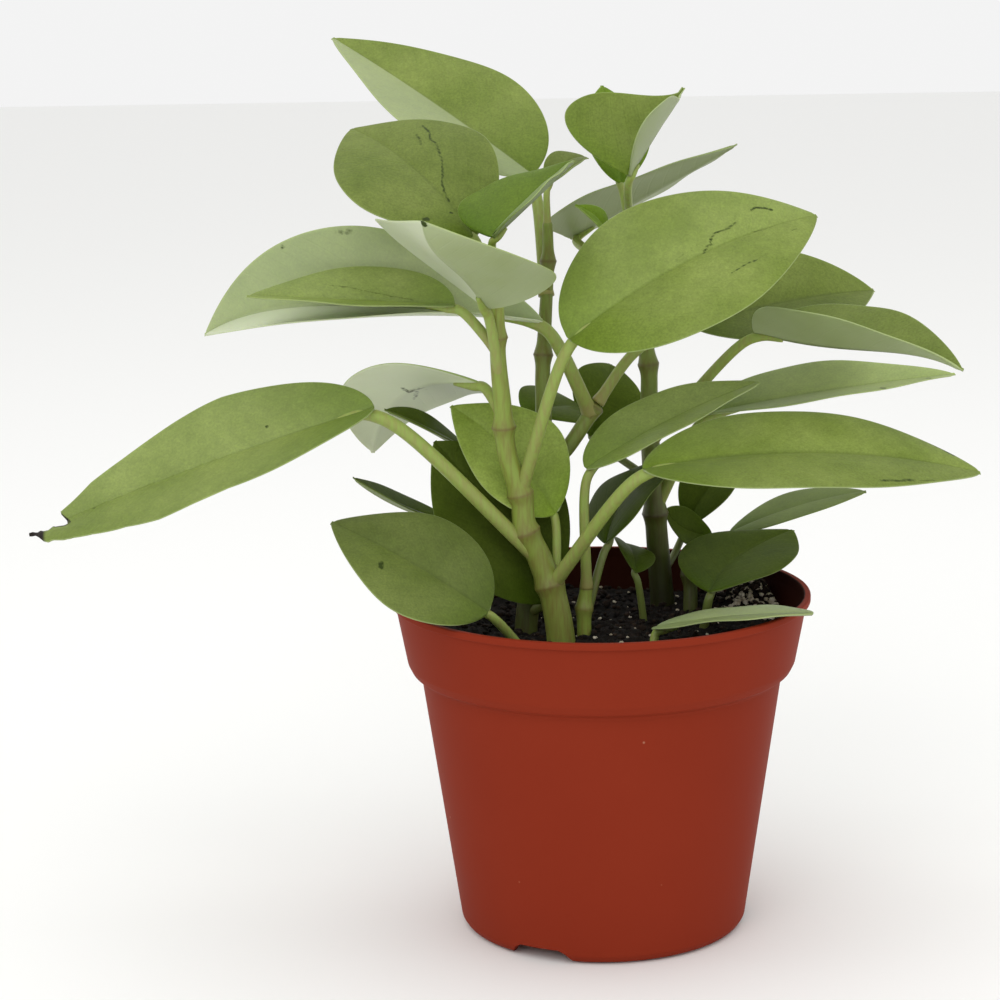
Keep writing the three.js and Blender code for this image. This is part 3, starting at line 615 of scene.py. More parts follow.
def waxy_leaf(name, light, mid, fresh, under, rim, rib, sheen):
    """Peperomia leaf: thick and succulent, with a smooth cuticle. The eye sees a satin olive green that is
    fresher near the stalk, a pale underside, a pale translucent margin, a fine midrib and faint veins."""
    material, tree, shader = new_material(name, {
        "Roughness": 0.42, "IOR": 1.42, "Specular IOR Level": sheen, "Subsurface Weight": 0.12,
        "Subsurface Radius": (0.9, 1.2, 0.35), "Subsurface Scale": 0.0012})
    where = add(tree, "TexCoord", out="Object")
    share, across, edge, upper, vein, scar, tone, pallor, dry = (
        add(tree, "Attribute", out="Fac", attribute_name=key)
        for key in ("share", "across", "edge", "upper", "vein", "scar", "tone", "pallor", "dry"))

    # cloudy change of green over about 20 mm
    clouds = add(tree, "TexNoise", {"Vector": where, "Scale": 1 / 0.02, "Detail": 2})
    cloudy = add(tree, "MapRange", {"Value": clouds, "From Min": 0.25, "From Max": 0.75})
    green = add(tree, "Mix", {0: cloudy, MIX_A: colour(mid), MIX_B: colour(light)}, **COLOURS)
    # fresher towards the stalk
    near_stalk = add(tree, "MapRange", {"Value": share, "From Max": 0.32, "To Min": 0.75, "To Max": 0},
                     interpolation_type="SMOOTHSTEP")
    green = add(tree, "Mix", {0: near_stalk, MIX_A: green, MIX_B: colour(fresh)}, **COLOURS)
    # the cuticle's grain: real cells are 0.1 mm across, and are drawn at 0.7 mm so that they show
    grain = add(tree, "TexNoise", {"Vector": where, "Scale": 1 / 0.0007, "Detail": 2, "Roughness": 0.7})
    grainy = add(tree, "MapRange", {"Value": grain, "From Min": 0.3, "From Max": 0.75,
                                    "To Min": 0.84, "To Max": 1.17})
    green = add(tree, "VectorMath", {0: green, "Scale": grainy}, operation="SCALE")
    # mottling, blotches about 3 mm across
    blotches = add(tree, "TexNoise", {"Vector": where, "Scale": 1 / 0.003, "Detail": 3})
    mottled = add(tree, "MapRange", {"Value": blotches, "From Min": 0.3, "From Max": 0.7,
                                     "To Min": 0.93, "To Max": 1.07})
    green = add(tree, "VectorMath", {0: green, "Scale": mottled}, operation="SCALE")
    # side veins every 6 mm, that leave the midrib towards the tip
    wave = add(tree, "Math", {0: vein, 1: 2 * math.pi / 6}, operation="MULTIPLY")
    wave = add(tree, "Math", {0: wave}, operation="COSINE")
    veins = add(tree, "MapRange", {"Value": wave, "From Min": 0.86})
    faint = add(tree, "Math", {0: veins, 1: 0.07}, operation="MULTIPLY")
    green = add(tree, "Mix", {0: faint, MIX_A: green, MIX_B: colour(fresh)}, **COLOURS)
    # midrib, a line that fades 0.9 mm to each side, and thins out towards the tip
    reach = add(tree, "Math", {0: across}, operation="ABSOLUTE")
    rib_width = add(tree, "MapRange", {"Value": share, "To Min": 0.9, "To Max": 0.35})
    on_rib = add(tree, "MapRange", {"Value": reach, "From Max": rib_width, "To Min": 0.2, "To Max": 0})
    green = add(tree, "Mix", {0: on_rib, MIX_A: green, MIX_B: colour(rib)}, **COLOURS)
    # the underside, greyer
    hazy = add(tree, "Math", {0: cloudy, 1: 0.3}, operation="MULTIPLY")
    pale = add(tree, "Mix", {0: hazy, MIX_A: colour(under), MIX_B: colour(UNDER_HAZE)}, **COLOURS)
    pale = add(tree, "Mix", {0: on_rib, MIX_A: pale, MIX_B: colour(UNDER_RIB)}, **COLOURS)
    face = add(tree, "Mix", {0: upper, MIX_A: pale, MIX_B: green}, **COLOURS)
    # painted sheen: light reflected off the cuticle, painted as a whitish glaze, in places nearly white
    face = add(tree, "Mix", {0: pallor, MIX_A: face, MIX_B: colour(PAINTED_SHEEN)}, **COLOURS)
    # lighter or darker by half: partly the leaf's own green, partly painted light and shade
    face = add(tree, "VectorMath", {0: face, "Scale": tone}, operation="SCALE")
    # pale margin, 0.3 mm wide
    margin = add(tree, "MapRange", {"Value": edge, "From Min": 0.05, "From Max": 0.35,
                                    "To Min": 0.4, "To Max": 0})
    face = add(tree, "Mix", {0: margin, MIX_A: face, MIX_B: colour(rim)}, **COLOURS)
    # healed scratches and spots, broken up by noise
    ragged = add(tree, "TexNoise", {"Vector": where, "Scale": 1 / 0.0012, "Detail": 2})
    scarred = add(tree, "Math", {0: scar, 1: ragged}, operation="MULTIPLY")
    scarred = add(tree, "MapRange", {"Value": scarred, "From Min": 0.16, "From Max": 0.4})
    face = add(tree, "Mix", {0: scarred, MIX_A: face, MIX_B: colour(SCAR)}, **COLOURS)
    # withered where it is torn
    face = add(tree, "Mix", {0: dry, MIX_A: face, MIX_B: colour(WITHERED)}, **COLOURS)
    tree.links.new(face, shader["Base Color"])

    gloss = add(tree, "MapRange", {"Value": clouds, "From Min": 0.3, "From Max": 0.7,
                                   "To Min": 0.38, "To Max": 0.5})
    tree.links.new(gloss, shader["Roughness"])
    height = add(tree, "Math", {0: grain, 1: veins}, operation="SUBTRACT")
    bump = add(tree, "Bump", {"Height": height, "Strength": 0.18, "Distance": 0.0002})
    tree.links.new(bump, shader["Normal"])
    return material


def fleshy_stalk(name, green, brown, ring_colour):
    """Soft green stem or stalk of a succulent plant: satin, with brownish streaks along it, and darker rings
    where leaves grew. The eye sees an olive bar that turns browner towards its foot."""
    material, tree, shader = new_material(name, {
        "Roughness": 0.45, "IOR": 1.42, "Subsurface Weight": 0.1, "Subsurface Radius": (1.0, 1.2, 0.4),
        "Subsurface Scale": 0.0015})
    where = add(tree, "TexCoord", out="Object")
    share, ring, tone = (add(tree, "Attribute", out="Fac", attribute_name=key)
                         for key in ("share", "ring", "tone"))
    # streaks 1 mm wide and about 8 mm long
    stretched = add(tree, "Mapping", {"Vector": where, "Scale": (1000, 1000, 130)})
    streaks = add(tree, "TexNoise", {"Vector": stretched, "Scale": 1, "Detail": 4})
    streaky = add(tree, "MapRange", {"Value": streaks, "From Min": 0.4, "From Max": 0.64, "To Max": 0.6})
    foot = add(tree, "MapRange", {"Value": share, "From Max": 0.6, "To Min": 0.3, "To Max": 0})
    browning = add(tree, "Math", {0: streaky, 1: foot}, operation="ADD")
    base = add(tree, "Mix", {0: browning, MIX_A: colour(green), MIX_B: colour(brown)}, **COLOURS)
    ringed = add(tree, "Mix", {0: ring, MIX_A: base, MIX_B: colour(ring_colour)}, **COLOURS)
    # painted shade: stems and stalks that stand in shade are painted darker by their tone
    shaded = add(tree, "VectorMath", {0: ringed, "Scale": tone}, operation="SCALE")
    tree.links.new(shaded, shader["Base Color"])
    bump = add(tree, "Bump", {"Height": streaks, "Strength": 0.25, "Distance": 0.0003})
    tree.links.new(bump, shader["Normal"])
    return material


def moulded_polypropylene():
    """Thin injection-moulded polypropylene nursery pot, brick red. The eye sees an even satin surface with a
    soft sheen, a little dust, and a few crumbs of soil stuck to it."""
    material, tree, shader = new_material("moulded_polypropylene", {
        "Roughness": 0.42, "IOR": 1.49, "Specular IOR Level": 0.03})
    where = add(tree, "TexCoord", out="Object")
    clouds = add(tree, "TexNoise", {"Vector": where, "Scale": 1 / 0.04, "Detail": 4})
    base = add(tree, "Mix", {0: clouds, MIX_A: colour("#7F2B19"), MIX_B: colour("#86301D")}, **COLOURS)
    # dust and soil specks up to 0.9 mm across, in one of some fourteen cells 5 mm wide
    distance = add(tree, "TexVoronoi", {"Vector": where, "Scale": 1 / 0.005}, out="Distance")
    speck = add(tree, "MapRange", {"Value": distance, "From Min": 0.04, "From Max": 0.09,
                                   "To Min": 1, "To Max": 0})
    lot = add(tree, "SeparateColor", {"Color": distance.node.outputs["Color"]})
    chosen = add(tree, "Math", {0: lot, 1: 0.93}, operation="GREATER_THAN")
    specks = add(tree, "Math", {0: speck, 1: chosen}, operation="MULTIPLY")
    faint = add(tree, "Math", {0: specks, 1: 0.5}, operation="MULTIPLY")
    dusty = add(tree, "Mix", {0: faint, MIX_A: base, MIX_B: colour("#B98A70")}, **COLOURS)
    # painted shade: the bore is painted nearly black above the soil, where shade falls inside the pot
    bore_shade = add(tree, "Attribute", out="Fac", attribute_name="bore_shade")
    bore_shade_share = add(tree, "Math", {0: bore_shade, 1: 0.93}, operation="MULTIPLY")
    bore_shaded = add(tree, "Mix", {0: bore_shade_share, MIX_A: dusty, MIX_B: colour("#2A140E")}, **COLOURS)
    tree.links.new(bore_shaded, shader["Base Color"])
    # the mould's fine texture, 0.6 mm
    grain = add(tree, "TexNoise", {"Vector": where, "Scale": 1 / 0.0006, "Detail": 2})
    gloss = add(tree, "MapRange", {"Value": clouds, "To Min": 0.48, "To Max": 0.6})
    tree.links.new(gloss, shader["Roughness"])
    bump = add(tree, "Bump", {"Height": grain, "Strength": 0.08, "Distance": 0.0002})
    tree.links.new(bump, shader["Normal"])
    return material


def potting_mix(name, dark, light):
    """What the soil is made of: crushed peat fibres and crumbs, moist, and grains of expanded mineral. The
    eye sees a dull, rough surface, for peat nearly black with lighter fibres, for the mineral chalky."""
    material, tree, shader = new_material(name, {"Roughness": 0.95, "IOR": 1.35})
    where = add(tree, "TexCoord", out="Object")
    # fibres about 2 mm long
    fibres = add(tree, "TexNoise", {"Vector": where, "Scale": 1 / 0.0018, "Detail": 6, "Roughness": 0.75})
    spread = add(tree, "MapRange", {"Value": fibres, "From Min": 0.4, "From Max": 0.75})
    base = add(tree, "Mix", {0: spread, MIX_A: colour(dark), MIX_B: colour(light)}, **COLOURS)
    tree.links.new(base, shader["Base Color"])
    bump = add(tree, "Bump", {"Height": fibres, "Strength": 0.8, "Distance": 0.001})
    tree.links.new(bump, shader["Normal"])
    return material


# The old finish is darker than the others: partly the colour of older leaves, partly painted shade for the
# leaves deep inside the plant.
LEAF_FINISHES = {
    "grown": waxy_leaf("grown_waxy_leaf", light="#8B9B4E", mid="#718434", fresh="#67801F", under="#8B9960",
                       rim="#AEBB88", rib="#55682B", sheen=0.15),
    "young": waxy_leaf("young_waxy_leaf", light="#75902C", mid="#6A8622", fresh="#5F8014", under="#83955A",
                       rim="#AABB78", rib="#4A6318", sheen=0.15),
    "old": waxy_leaf("old_and_shaded_waxy_leaf", light="#4D5B20", mid="#3C4A13", fresh="#405410", under="#5F6C38",
                     rim="#66743C", rib="#1E270C", sheen=0.03),
}
STALK = fleshy_stalk("fleshy_leaf_stalk", green="#8FA34E", brown="#8F8A50", ring_colour="#8A7A4A")
STEM = fleshy_stalk("fleshy_stem", green="#879A42", brown="#7C7436", ring_colour="#6E5C32")
POT = moulded_polypropylene()
PEAT = potting_mix("moist_peat", dark="#0A0705", light="#221710")
CRUMB = potting_mix("peat_crumb", dark="#140D09", light="#3C2A1C")
MINERAL = potting_mix("expanded_mineral", dark="#B5A88E", light="#F2EBDD")


# ---- Pot ----

def wall_radius(z):
    """The body's outside radius at a height: a straight taper from the foot."""
    return FOOT_R + (BODY_TOP_R - FOOT_R) * z / BODY_TOP_Z


def bore_points():
    """The pot's bore from the middle of its floor up to the lip, as (radius, height) points."""
    floor_z = CHANNEL_H + WALL
    return [(0, WALL), (MIDDLE_R - WALL, WALL), (MIDDLE_R + 1, floor_z),
            (wall_radius(floor_z) - WALL, floor_z), (BODY_TOP_R - WALL, BODY_TOP_Z + 0.5),
            (COLLAR_FOOT_R - WALL - 1, COLLAR_FOOT_Z), (COLLAR_FOOT_R - WALL, COLLAR_FOOT_Z + 2),
            (BORE_R, POT_HEIGHT - RIM_H - 1), (BORE_R, POT_HEIGHT)]


def cutter():
    """What is cut out of the pot: the foot's notches, which are wider at the table, and the drain holes. Both
    reach a little past the walls that they cut."""
    shells = []
    foot, top = NOTCH_FOOT_W / 2, NOTCH_TOP_W / 2
    low, high = top + NOTCH_CHAMFER, top - NOTCH_CHAMFER
    outline = np.array([(-foot, -1), (foot, -1), (low, NOTCH_H - NOTCH_CHAMFER), (high, NOTCH_H),
                        (-high, NOTCH_H), (-low, NOTCH_H - NOTCH_CHAMFER)])
    inside, outside = FOOT_R - FOOT_RING_W - 4, FOOT_R + 6
    for i in range(NOTCH_COUNT):
        angle = math.radians(NOTCH_FIRST + 360 / NOTCH_COUNT * i)
        ahead = np.array([math.cos(angle), math.sin(angle), 0])
        side = np.array([-ahead[1], ahead[0], 0])
        face = outline[:, :1] * side + outline[:, 1:] * np.array([0, 0, 1])
        rings = np.stack([face + ahead * inside, face + ahead * outside])
        shells.append(skin(rings, rings.mean(axis=1)))
    for i in range(DRAIN_COUNT):
        angle = 2 * math.pi / DRAIN_COUNT * (i + 0.5)
        centre = DRAIN_RING_R * np.array([math.cos(angle), math.sin(angle), 0])
        path = centre + np.outer([CHANNEL_H - WALL, CHANNEL_H + 2 * WALL], [0, 0, 1])
        shells.append(tube(path, [DRAIN_R] * 2, DRAIN_SIDES))
    return joined(shells)


def make_pot():
    """The pot is a lathe of its wall's profile, rounded at each corner, with the notches and drains cut. The
    bore is marked for a painted shade, from its floor up."""
    outside = [(BORE_R, POT_HEIGHT), (RIM_R, POT_HEIGHT), (RIM_R, POT_HEIGHT - RIM_H),
               (COLLAR_TOP_R, POT_HEIGHT - RIM_H), (COLLAR_FOOT_R, COLLAR_FOOT_Z),
               (COLLAR_FOOT_R - 1.2, COLLAR_FOOT_Z - 2.4), (BODY_TOP_R + 0.4, BODY_TOP_Z + 0.8),
               (BODY_TOP_R, BODY_TOP_Z), (wall_radius(FOOT_ROUND), FOOT_ROUND), (FOOT_R - 0.8, 0.8),
               (FOOT_R - FOOT_ROUND, 0), (FOOT_R - FOOT_RING_W, 0), (FOOT_R - FOOT_RING_W, CHANNEL_H),
               (MIDDLE_R + 2.5, CHANNEL_H), (MIDDLE_R, 0), (0, 0)]
    profile = rounded(bore_points()[:-1] + outside, EDGE_ROUND)
    pot = add_piece("nursery_pot", lathe(profile, POT_SIDES), [POT], "pot")
    tool = add_shell("pot_cutter", cutter(), [POT])
    cut = pot.modifiers.new("cut", "BOOLEAN")
    cut.object = tool
    cut.operation = "DIFFERENCE"
    cut.solver = "EXACT"
    cut_mesh = bpy.data.meshes.new_from_object(pot.evaluated_get(bpy.context.evaluated_depsgraph_get()))
    pot.modifiers.clear()
    pot.data = cut_mesh
    cut_mesh.set_sharp_from_angle(angle=math.radians(SHARP_BEND))
    places = np.empty(3 * len(cut_mesh.vertices), np.float32)
    cut_mesh.vertices.foreach_get("co", places)
    x, y, z = places.reshape(-1, 3).T / MM
    bore_r, bore_z = np.array(bore_points()).T
    inside = np.hypot(x, y) < np.interp(z, bore_z, bore_r) + WALL / 3
    # the bore's painted shade: every point inside the pot above its floor
    bore_shade = cut_mesh.attributes.new("bore_shade", "FLOAT", "POINT")
    bore_shade.data.foreach_set("value", (inside & (z > WALL)).astype(np.float32))
    bpy.data.objects.remove(tool)


# ---- Soil ----

def soil_top(x, y):
    """The height of the soil's top: uneven ground of long waves and short lumps that falls a little at the
    wall, with a mound, a bell curve, against the wall at the right."""
    away = ((x - MOUND_X) ** 2 + (y - MOUND_Y) ** 2) / MOUND_R**2
    ground = ripple(x, y, SOIL_WAVES, np.random.default_rng(SOIL_SEED))
    ground = ground - SOIL_FALL * (np.hypot(x, y) / SOIL_R) ** 8
    return SOIL_Z + np.minimum(ground, SOIL_LUMP_MAX) + MOUND_H * np.exp(-away)


def make_soil():
    """The soil fills the bore up to its uneven top."""
    bore = [(r - SOIL_GAP, z + SOIL_GAP) for r, z in bore_points()[1:-2] if z < SOIL_Z - 2]
    turn = np.linspace(0, 2 * np.pi, SOIL_SIDES, endpoint=False)
    r = np.linspace(0, SOIL_R, SOIL_RINGS + 1)[1:, None]
    x, y = r * np.cos(turn), r * np.sin(turn)
    top = np.stack([x, y, soil_top(x, y)], axis=-1)
    wall_r, wall_z = np.array(bore[::-1]).T[:, :, None]
    wall = np.stack([wall_r * np.cos(turn), wall_r * np.sin(turn), wall_z + 0 * turn], axis=-1)
    rings = np.concatenate([top, wall])
    ends = [(0, 0, SOIL_Z), (0, 0, WALL + SOIL_GAP)]
    add_piece("potting_soil", skin(rings, ends), [PEAT], "soil")


def ball():
    """A round lump of 26 points and 32 faces: three rings of eight points between two poles."""
    climb = np.radians([-50, 0, 50])[:, None]
    turn = np.linspace(0, 2 * np.pi, 8, endpoint=False)
    rings = np.stack([np.cos(climb) * np.cos(turn), np.cos(climb) * np.sin(turn),
                      np.sin(climb) * np.ones(8)], axis=-1)
    return skin(rings, [(0, 0, -1), (0, 0, 1)])


def make_crumbs(name, material, count, sizes, flatness, spots, seed):
    """Loose crumbs on the soil: round lumps squashed and dented by seeded amounts, strewn around the spots
    in bell curves and kept inside the bore, in a size range."""
    rng = np.random.default_rng(seed)
    lump = ball()
    shells = []
    for _ in range(count):
        x, y, spread = spots[rng.integers(len(spots))]
        place = np.array([x, y]) + rng.normal(0, spread, 2)
        size = rng.uniform(*sizes)
        dented = lump["points"] * rng.uniform(*CRUMB_DENTS, (len(lump["points"]), 1))
        squashed = (1, rng.uniform(*CRUMB_NARROWING), flatness * rng.uniform(*CRUMB_FLATTENING))
        dented = dented * squashed * size
        angle, tilt = rng.uniform(0, 2 * np.pi), rng.uniform(-CRUMB_TILT, CRUMB_TILT)
        turn = np.array(Matrix.Rotation(angle, 3, "Z") @ Matrix.Rotation(tilt, 3, "X"))
        limit = SOIL_R + CRUMB_OVERREACH - CRUMB_DENTS[1] * size
        reach = np.hypot(*place)
        if reach > limit:
            place *= limit / reach
        height = soil_top(*place) + rng.uniform(0, CRUMB_LIFT) + size * flatness * CRUMB_STAND
        shells.append(dict(lump, points=dented @ turn.T + np.append(place, height)))
    add_piece(name, joined(shells), [material])


# ---- Stems ----

def stem_radius(stem, height, share):
    """A stem tapers from foot to top, and at each node it swells and carries a low sharp lip, both in the
    shape of a bell curve. height is that of each point, and share how far along the stem it is. Also says
    how brown each point is."""
    radius = stem["foot_radius"] + (stem["top_radius"] - stem["foot_radius"]) * share
    ring = np.zeros_like(radius)
    for node in stem["nodes"]:
        away = height - node
        swelling = np.exp(-((away / NODE_LENGTH) ** 2))
        lip = np.exp(-((away / NODE_LIP_LENGTH) ** 2))
        radius = radius + NODE_SWELL * swelling + NODE_LIP * lip
        ring = np.maximum(ring, np.maximum(LIP_BROWNING * lip, NODE_BROWNING * swelling))
    return radius, ring


def make_stem(name, parts):
    """A stem: a round bar along its axis whose end is rounded off like a quarter circle."""
    shells = []
    for part in parts:
        stem = STEMS[part]
        path, share = smooth_path(stem["points"], STEM_STEP)
        radius, ring = stem_radius(stem, path[:, 2], share)
        to_end = (1 - share) * len(path) * STEM_STEP / stem["top_radius"]
        radius = radius * np.sqrt(1 - np.clip(1 - to_end, 0, END_NARROWING) ** 2)
        # painted shade: each stem is darker towards its foot, where it stands in shade inside the pot
        tone = np.interp(path[:, 2], STEM_SHADE_Z, stem["tone"])
        values = {"share": share[:, None], "ring": ring[:, None], "tone": tone[:, None]}
        shells.append(tube(path, radius, STEM_SIDES, values))
    add_piece("fleshy_" + name, joined(shells), [STEM], name)


# ---- Leaves ----

def leaf_frame(leaf):
    """The blade's own axes: along from base to tip, normal is up turned by roll about it, and side is square
    to both."""
    along = np.subtract(leaf["tip"], leaf["base"]).astype(float)
    chord = unit(along)
    up = unit(np.array([0, 0, 1]) - chord[2] * chord)
    roll = math.radians(leaf["roll"])
    normal = up * math.cos(roll) + np.cross(chord, up) * math.sin(roll)
    return along, normal, np.cross(chord, normal)


def blade_length(leaf):
    """The blade's length, straight from base to tip."""
    return np.linalg.norm(np.subtract(leaf["tip"], leaf["base"]))


def half_width(leaf, u):
    """Half the blade's width: a sine arch whose top is moved to the widest place, a little fuller than a
    sine near the base, and never under the width of its blunt ends."""
    power = math.log(0.5) / math.log(leaf["widest"])
    outline = np.maximum(np.sin(np.pi * u**power), 0) ** (leaf["roundness"] + leaf["taper"] * u)
    return np.maximum(leaf["width"] / 2 * outline, BLADE_END_HALF_W)


def midrib(leaf, u):
    """The midrib: the straight line from base to tip, arched up by bow and sideways by sweep, with its outer
    part lifted by hook."""
    along, normal, side = leaf_frame(leaf)
    u = np.asarray(u, float)[..., None]
    arch = 4 * u * (1 - u)
    lift = leaf["bow"] * arch + leaf["hook"] * HOOK_PEAK * u**3 * (1 - u)
    return np.array(leaf["base"]) + along * u + normal * lift + side * leaf["sweep"] * arch


def blade_point(leaf, u, v, wave):
    """The blade's middle surface. Across it each half leaves the midrib at a slope of fold plus half of curl
    times v, turned by twist along the blade. The margin waves gently."""
    _, normal, side = leaf_frame(leaf)
    slope = np.radians(leaf["fold"] + leaf["curl"] * np.abs(v) / 2 - leaf["open"] * (v > 0))
    turn = np.radians(leaf["twist"]) * (u - 0.5)
    h = half_width(leaf, u)
    across = h * v * np.cos(slope)
    margin_wave = wave[0] * np.minimum(np.abs(v), 1) ** 3 * np.sin(2 * np.pi * wave[1] * u + wave[2] * v)
    rise = h * np.abs(v) * np.sin(slope) + margin_wave
    aside = across * np.cos(turn) + rise * np.sin(turn)
    lifted = rise * np.cos(turn) - across * np.sin(turn)
    return midrib(leaf, u) + side * aside[..., None] + normal * lifted[..., None]


def scar_depth(name, leaf, is_upper, along, across):
    """How deep each point is in a scar: the depth that MARKS gives, on its lines and up to 0.4 of their width
    away, and from there falling to nothing at 1.4 of it. along and across are in mm."""
    depth = np.zeros_like(along)
    for side, width, strength, line in MARKS.get(name, []):
        u, v = np.array(line).T
        knots = np.stack([u * blade_length(leaf), v * half_width(leaf, u)], axis=-1)
        for a, b in zip(knots[:-1], knots[1:]):
            span = b - a
            t = np.clip(((along - a[0]) * span[0] + (across - a[1]) * span[1]) / max(span @ span, 1e-9), 0, 1)
            away = np.hypot(along - a[0] - t * span[0], across - a[1] - t * span[1])
            near = np.clip(SCAR_CORE - away / width, 0, 1) * (is_upper == (side == "upper"))
            depth = np.maximum(depth, strength * near)
    return depth


def withering(leaf, u, v, high):
    """How withered each point is: all of it beyond dry, a narrow band at the tear, and the torn margin."""
    withered = np.clip((u - leaf["dry"]) / DRY_FADE, 0, 1)
    if leaf["tear"]:
        at_tear = (np.abs(u - leaf["tear"]) < TEAR_HALF_W) & (v > TORN_FROM_V)
        torn_margin = (u > leaf["tear"]) & (high - v < TORN_MARGIN_W)
        withered = np.maximum(withered, at_tear | torn_margin)
    return withered


def blade(name, leaf, rng):
    """A thick blade: round its cross-section, v goes from margin to margin as the cosine of an angle and the
    surface stands off the middle surface by half the thickness times the sine's square root, so that the
    margins are round. A groove runs along the midrib above and a ridge below. A tear runs aslant, because the
    rows near it lean outwards with v."""
    wave_height = MARGIN_WAVE * min(1, leaf["width"] / MARGIN_WAVE_FULL_W)
    wave = (wave_height, rng.uniform(*MARGIN_WAVES), rng.uniform(0, 3))
    rows, around = leaf["fine"] * BLADE_ROWS, leaf["fine"] * BLADE_AROUND
    u = (0.5 - 0.5 * np.cos(np.pi * np.linspace(BLADE_END_U, 1 - BLADE_END_U, rows)))[:, None]
    u, turn = np.broadcast_arrays(u, (np.arange(around) / around * 2 * np.pi)[None, :])
    knots, lows, highs = np.array(leaf["edges"]).T
    low, high = np.interp(u, knots, lows), np.interp(u, knots, highs)
    v, lift = (high + low) / 2 + (high - low) / 2 * np.cos(turn), np.sin(turn)
    withered = withering(leaf, u, v, high)
    if leaf["tear"]:
        near_tear = np.exp(-(((u - leaf["tear"]) / TEAR_LEAN_REACH) ** 2))
        u = u + TEAR_LEAN * np.clip(v, -0.5, 1) * near_tear

    # the surface stands off along the cross product of its two slopes, measured over a small step
    step = 1e-4
    near_u, near_v = np.clip(u, 2 * step, 1 - 2 * step), np.clip(v, low + 2 * step, high - 2 * step)
    v_slope = blade_point(leaf, near_u, near_v + step, wave) - blade_point(leaf, near_u, near_v - step, wave)
    u_slope = blade_point(leaf, near_u + step, near_v, wave) - blade_point(leaf, near_u - step, near_v, wave)
    out = unit(np.cross(v_slope, u_slope))
    h = half_width(leaf, u)
    across, along = v * h, u * blade_length(leaf)
    is_upper = lift > 0
    thick = BLADE_T / 2 * np.sign(lift) * np.sqrt(np.abs(lift)) * np.minimum(1, h / THIN_EDGE_HALF_W)
    rib = np.exp(-((across / RIB_HALF_W) ** 2)) * (1 - RIB_FADE * u) * np.minimum(1, h / RIB_FULL_HALF_W)
    offset = thick - GROOVE_DEPTH * rib * is_upper - RIDGE_DEPTH * rib * (lift < 0)
    rings = blade_point(leaf, u, v, wave) + out * offset[..., None]
    values = {
        "share": u, "across": across, "edge": h * np.minimum(high - v, v - low),
        "upper": is_upper.astype(float),
        "vein": along - VEIN_SLANT * np.abs(across) - VEIN_BEND * across**2,
        "scar": scar_depth(name, leaf, is_upper, along, across),
        # tone carries painted light and shade as well as the leaf's own green
        "tone": np.where(v < 0, *leaf["tone"]), "dry": withered.astype(float),
        # painted sheen, on the upper side from bloom and on the underside from pallor
        "pallor": np.where(is_upper, np.where(v < 0, *leaf["upper_painted_sheen"]), np.where(v < 0, *leaf["pallor"])),
    }
    return skin(rings, midrib(leaf, [0, 1]), values)


def axis_point(stem, height):
    """The point of a stem's axis at a height, on the straight line between the two points next to it."""
    points = np.array(stem["points"], float)
    return np.array([np.interp(height, points[:, 2], points[:, i]) for i in range(3)])


def stalk(leaf):
    """The stalk runs from its stem or the soil to the blade, and on under the midrib, where it thins out. It
    widens a little where it starts, and is browner there."""
    _, normal, _ = leaf_frame(leaf)
    if "soil" in leaf:
        start = np.array([*leaf["soil"], SOIL_Z - STEM_DEPTH / 2])
    else:
        start = axis_point(STEMS[leaf["stem"]], leaf["joint"])
    base = midrib(leaf, 0)
    route = [start] + ([np.array(leaf["via"])] if "via" in leaf else [])
    route += [base + (route[-1] - base) * STALK_BEND]
    route += [midrib(leaf, u) - normal * (BLADE_T / 2 + drop)
              for u, drop in ((KEEL_START, KEEL_START_DROP), (KEEL_SHARE, KEEL_END_DROP))]
    path, share = smooth_path(route, STALK_STEP)
    run = np.linalg.norm(np.diff(path, axis=0), axis=1).sum()
    blade_start = 1 - KEEL_SHARE * blade_length(leaf) / run
    foot = STALK_R + STALK_R_PER_LENGTH * blade_length(leaf)
    radius = np.interp(share, [0, blade_start, 1], [foot, STALK_TOP_SHARE * foot, KEEL_R])
    flare = STALK_FLARE * foot * np.exp(-((share * run / STALK_FLARE_LENGTH) ** 2))
    ring = STALK_RING * np.exp(-((share * run / STALK_RING_LENGTH) ** 2))
    # the stalks of old leaves get a painted shade
    values = {"share": np.clip(share / blade_start, 0, 1)[:, None], "ring": ring[:, None],
              "tone": OLD_STALK_SHADE if leaf["finish"] == "old" else 1}
    return tube(path, radius + flare, STALK_SIDES, values, material=1)


def make_leaf(name, index):
    """A leaf: its blade and its stalk, in one piece."""
    row = LEAVES[name]
    leaf = {**LEAF_DEFAULTS, **FORMS[row["form"]], **row}
    rng = np.random.default_rng(LEAF_SEED + index)
    shell = joined([blade(name, leaf, rng), stalk(leaf)])
    add_piece("peperomia_" + name, shell, [LEAF_FINISHES[leaf["finish"]], STALK], name)


# ---- The whole plant ----

make_pot()
make_soil()
make_crumbs("peat_crumbs", CRUMB, count=420, sizes=(0.5, 1.6), flatness=0.7, spots=STREWN, seed=21)
make_crumbs("fine_crumbs", PEAT, count=380, sizes=(0.4, 1.1), flatness=0.8, spots=STREWN, seed=22)
make_crumbs("mineral_grains", MINERAL, count=60, sizes=(0.35, 1), flatness=0.6, spots=STREWN, seed=23)
make_crumbs("mound_crumbs", CRUMB, count=200, sizes=(0.6, 1.6), flatness=0.8, spots=MOUNDED, seed=25)
make_crumbs("mineral_flakes", MINERAL, count=150, sizes=(0.5, 1.5), flatness=0.7, spots=MOUNDED, seed=24)
for stem_name, stem_parts in STEM_PIECES.items():
    make_stem(stem_name, stem_parts)
for leaf_index, leaf_name in enumerate(LEAVES):
    make_leaf(leaf_name, leaf_index)


# ---- Camera, light and floor, metres and radians ----

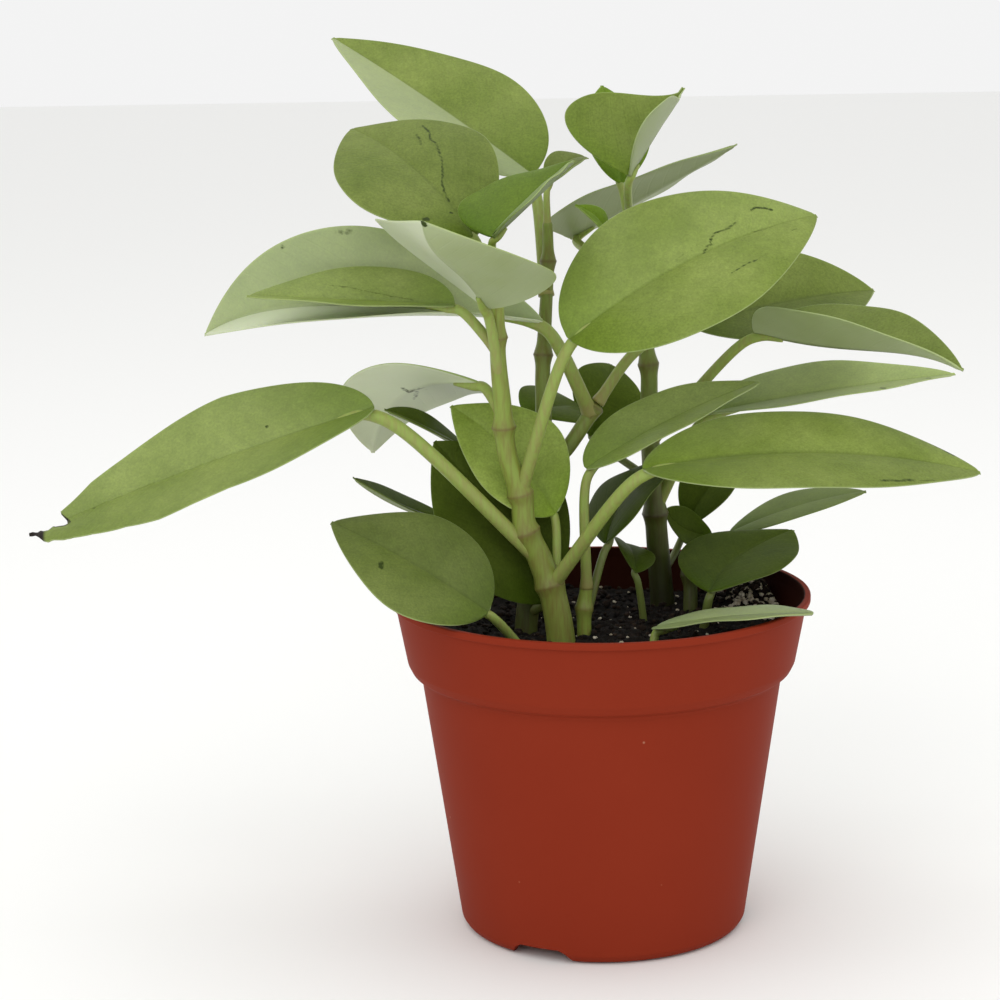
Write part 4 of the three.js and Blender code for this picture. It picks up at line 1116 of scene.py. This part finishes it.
CAMERA_AT = (-0.0291, -0.8, 0.2926)
CAMERA_TILT = 0.203
CAMERA_ROLL = 0.0157
CAMERA_LENS = 100.8  # mm
CAMERA_SENSOR = 36   # mm
SOFTBOXES = {
    "softbox_front": dict(place=(-0.35, -1.1, 1), target=(0, 0, 0.14), size=0.9, power=5),
    "softbox_right": dict(place=(0.95, -0.6, 0.55), target=(0, 0, 0.14), size=0.9, power=0.8),
    "softbox_top": dict(place=(0, 0.1, 1.4), target=(0, 0, 0.1), size=1, power=3),
}
ROOM_LIGHT = 0.9
HALF_FLOOR = 4


def soft_light(name, place, target, size, power):
    """A square softbox that faces a point."""
    light = bpy.data.lights.new(name, "AREA")
    light.size = size
    light.energy = power
    lamp = add_object(name, light)
    towards = Vector(target) - Vector(place)
    lamp.matrix_world = Matrix.Translation(place) @ towards.to_track_quat("-Z", "Y").to_matrix().to_4x4()


camera = add_object("camera", bpy.data.cameras.new("camera"))
camera.data.sensor_width = CAMERA_SENSOR
camera.data.lens = CAMERA_LENS
camera.matrix_world = (Matrix.Translation(CAMERA_AT) @ Matrix.Rotation(math.pi / 2 - CAMERA_TILT, 4, "X")
                       @ Matrix.Rotation(-CAMERA_ROLL, 4, "Z"))
bpy.context.scene.camera = camera

for box_name, box in SOFTBOXES.items():
    soft_light(box_name, **box)

bpy.context.scene.view_settings.view_transform = "Standard"
world = bpy.data.worlds.new("white_room")
world.use_nodes = True
room = world.node_tree.nodes["Background"].inputs
room["Color"].default_value = (1, 1, 1, 1)
room["Strength"].default_value = ROOM_LIGHT
bpy.context.scene.world = world

floor_mesh = bpy.data.meshes.new("floor")
floor_corners = [(-1, -1, 0), (1, -1, 0), (1, 1, 0), (-1, 1, 0)]
floor_mesh.from_pydata([(x * HALF_FLOOR, y * HALF_FLOOR, z) for x, y, z in floor_corners], [], [(0, 1, 2, 3)])
floor = add_object("floor", floor_mesh)
pale_floor, _, _ = new_material("pale_floor", {"Roughness": 0.9, "Base Color": colour("#F6F6F4")})
floor_mesh.materials.append(pale_floor)
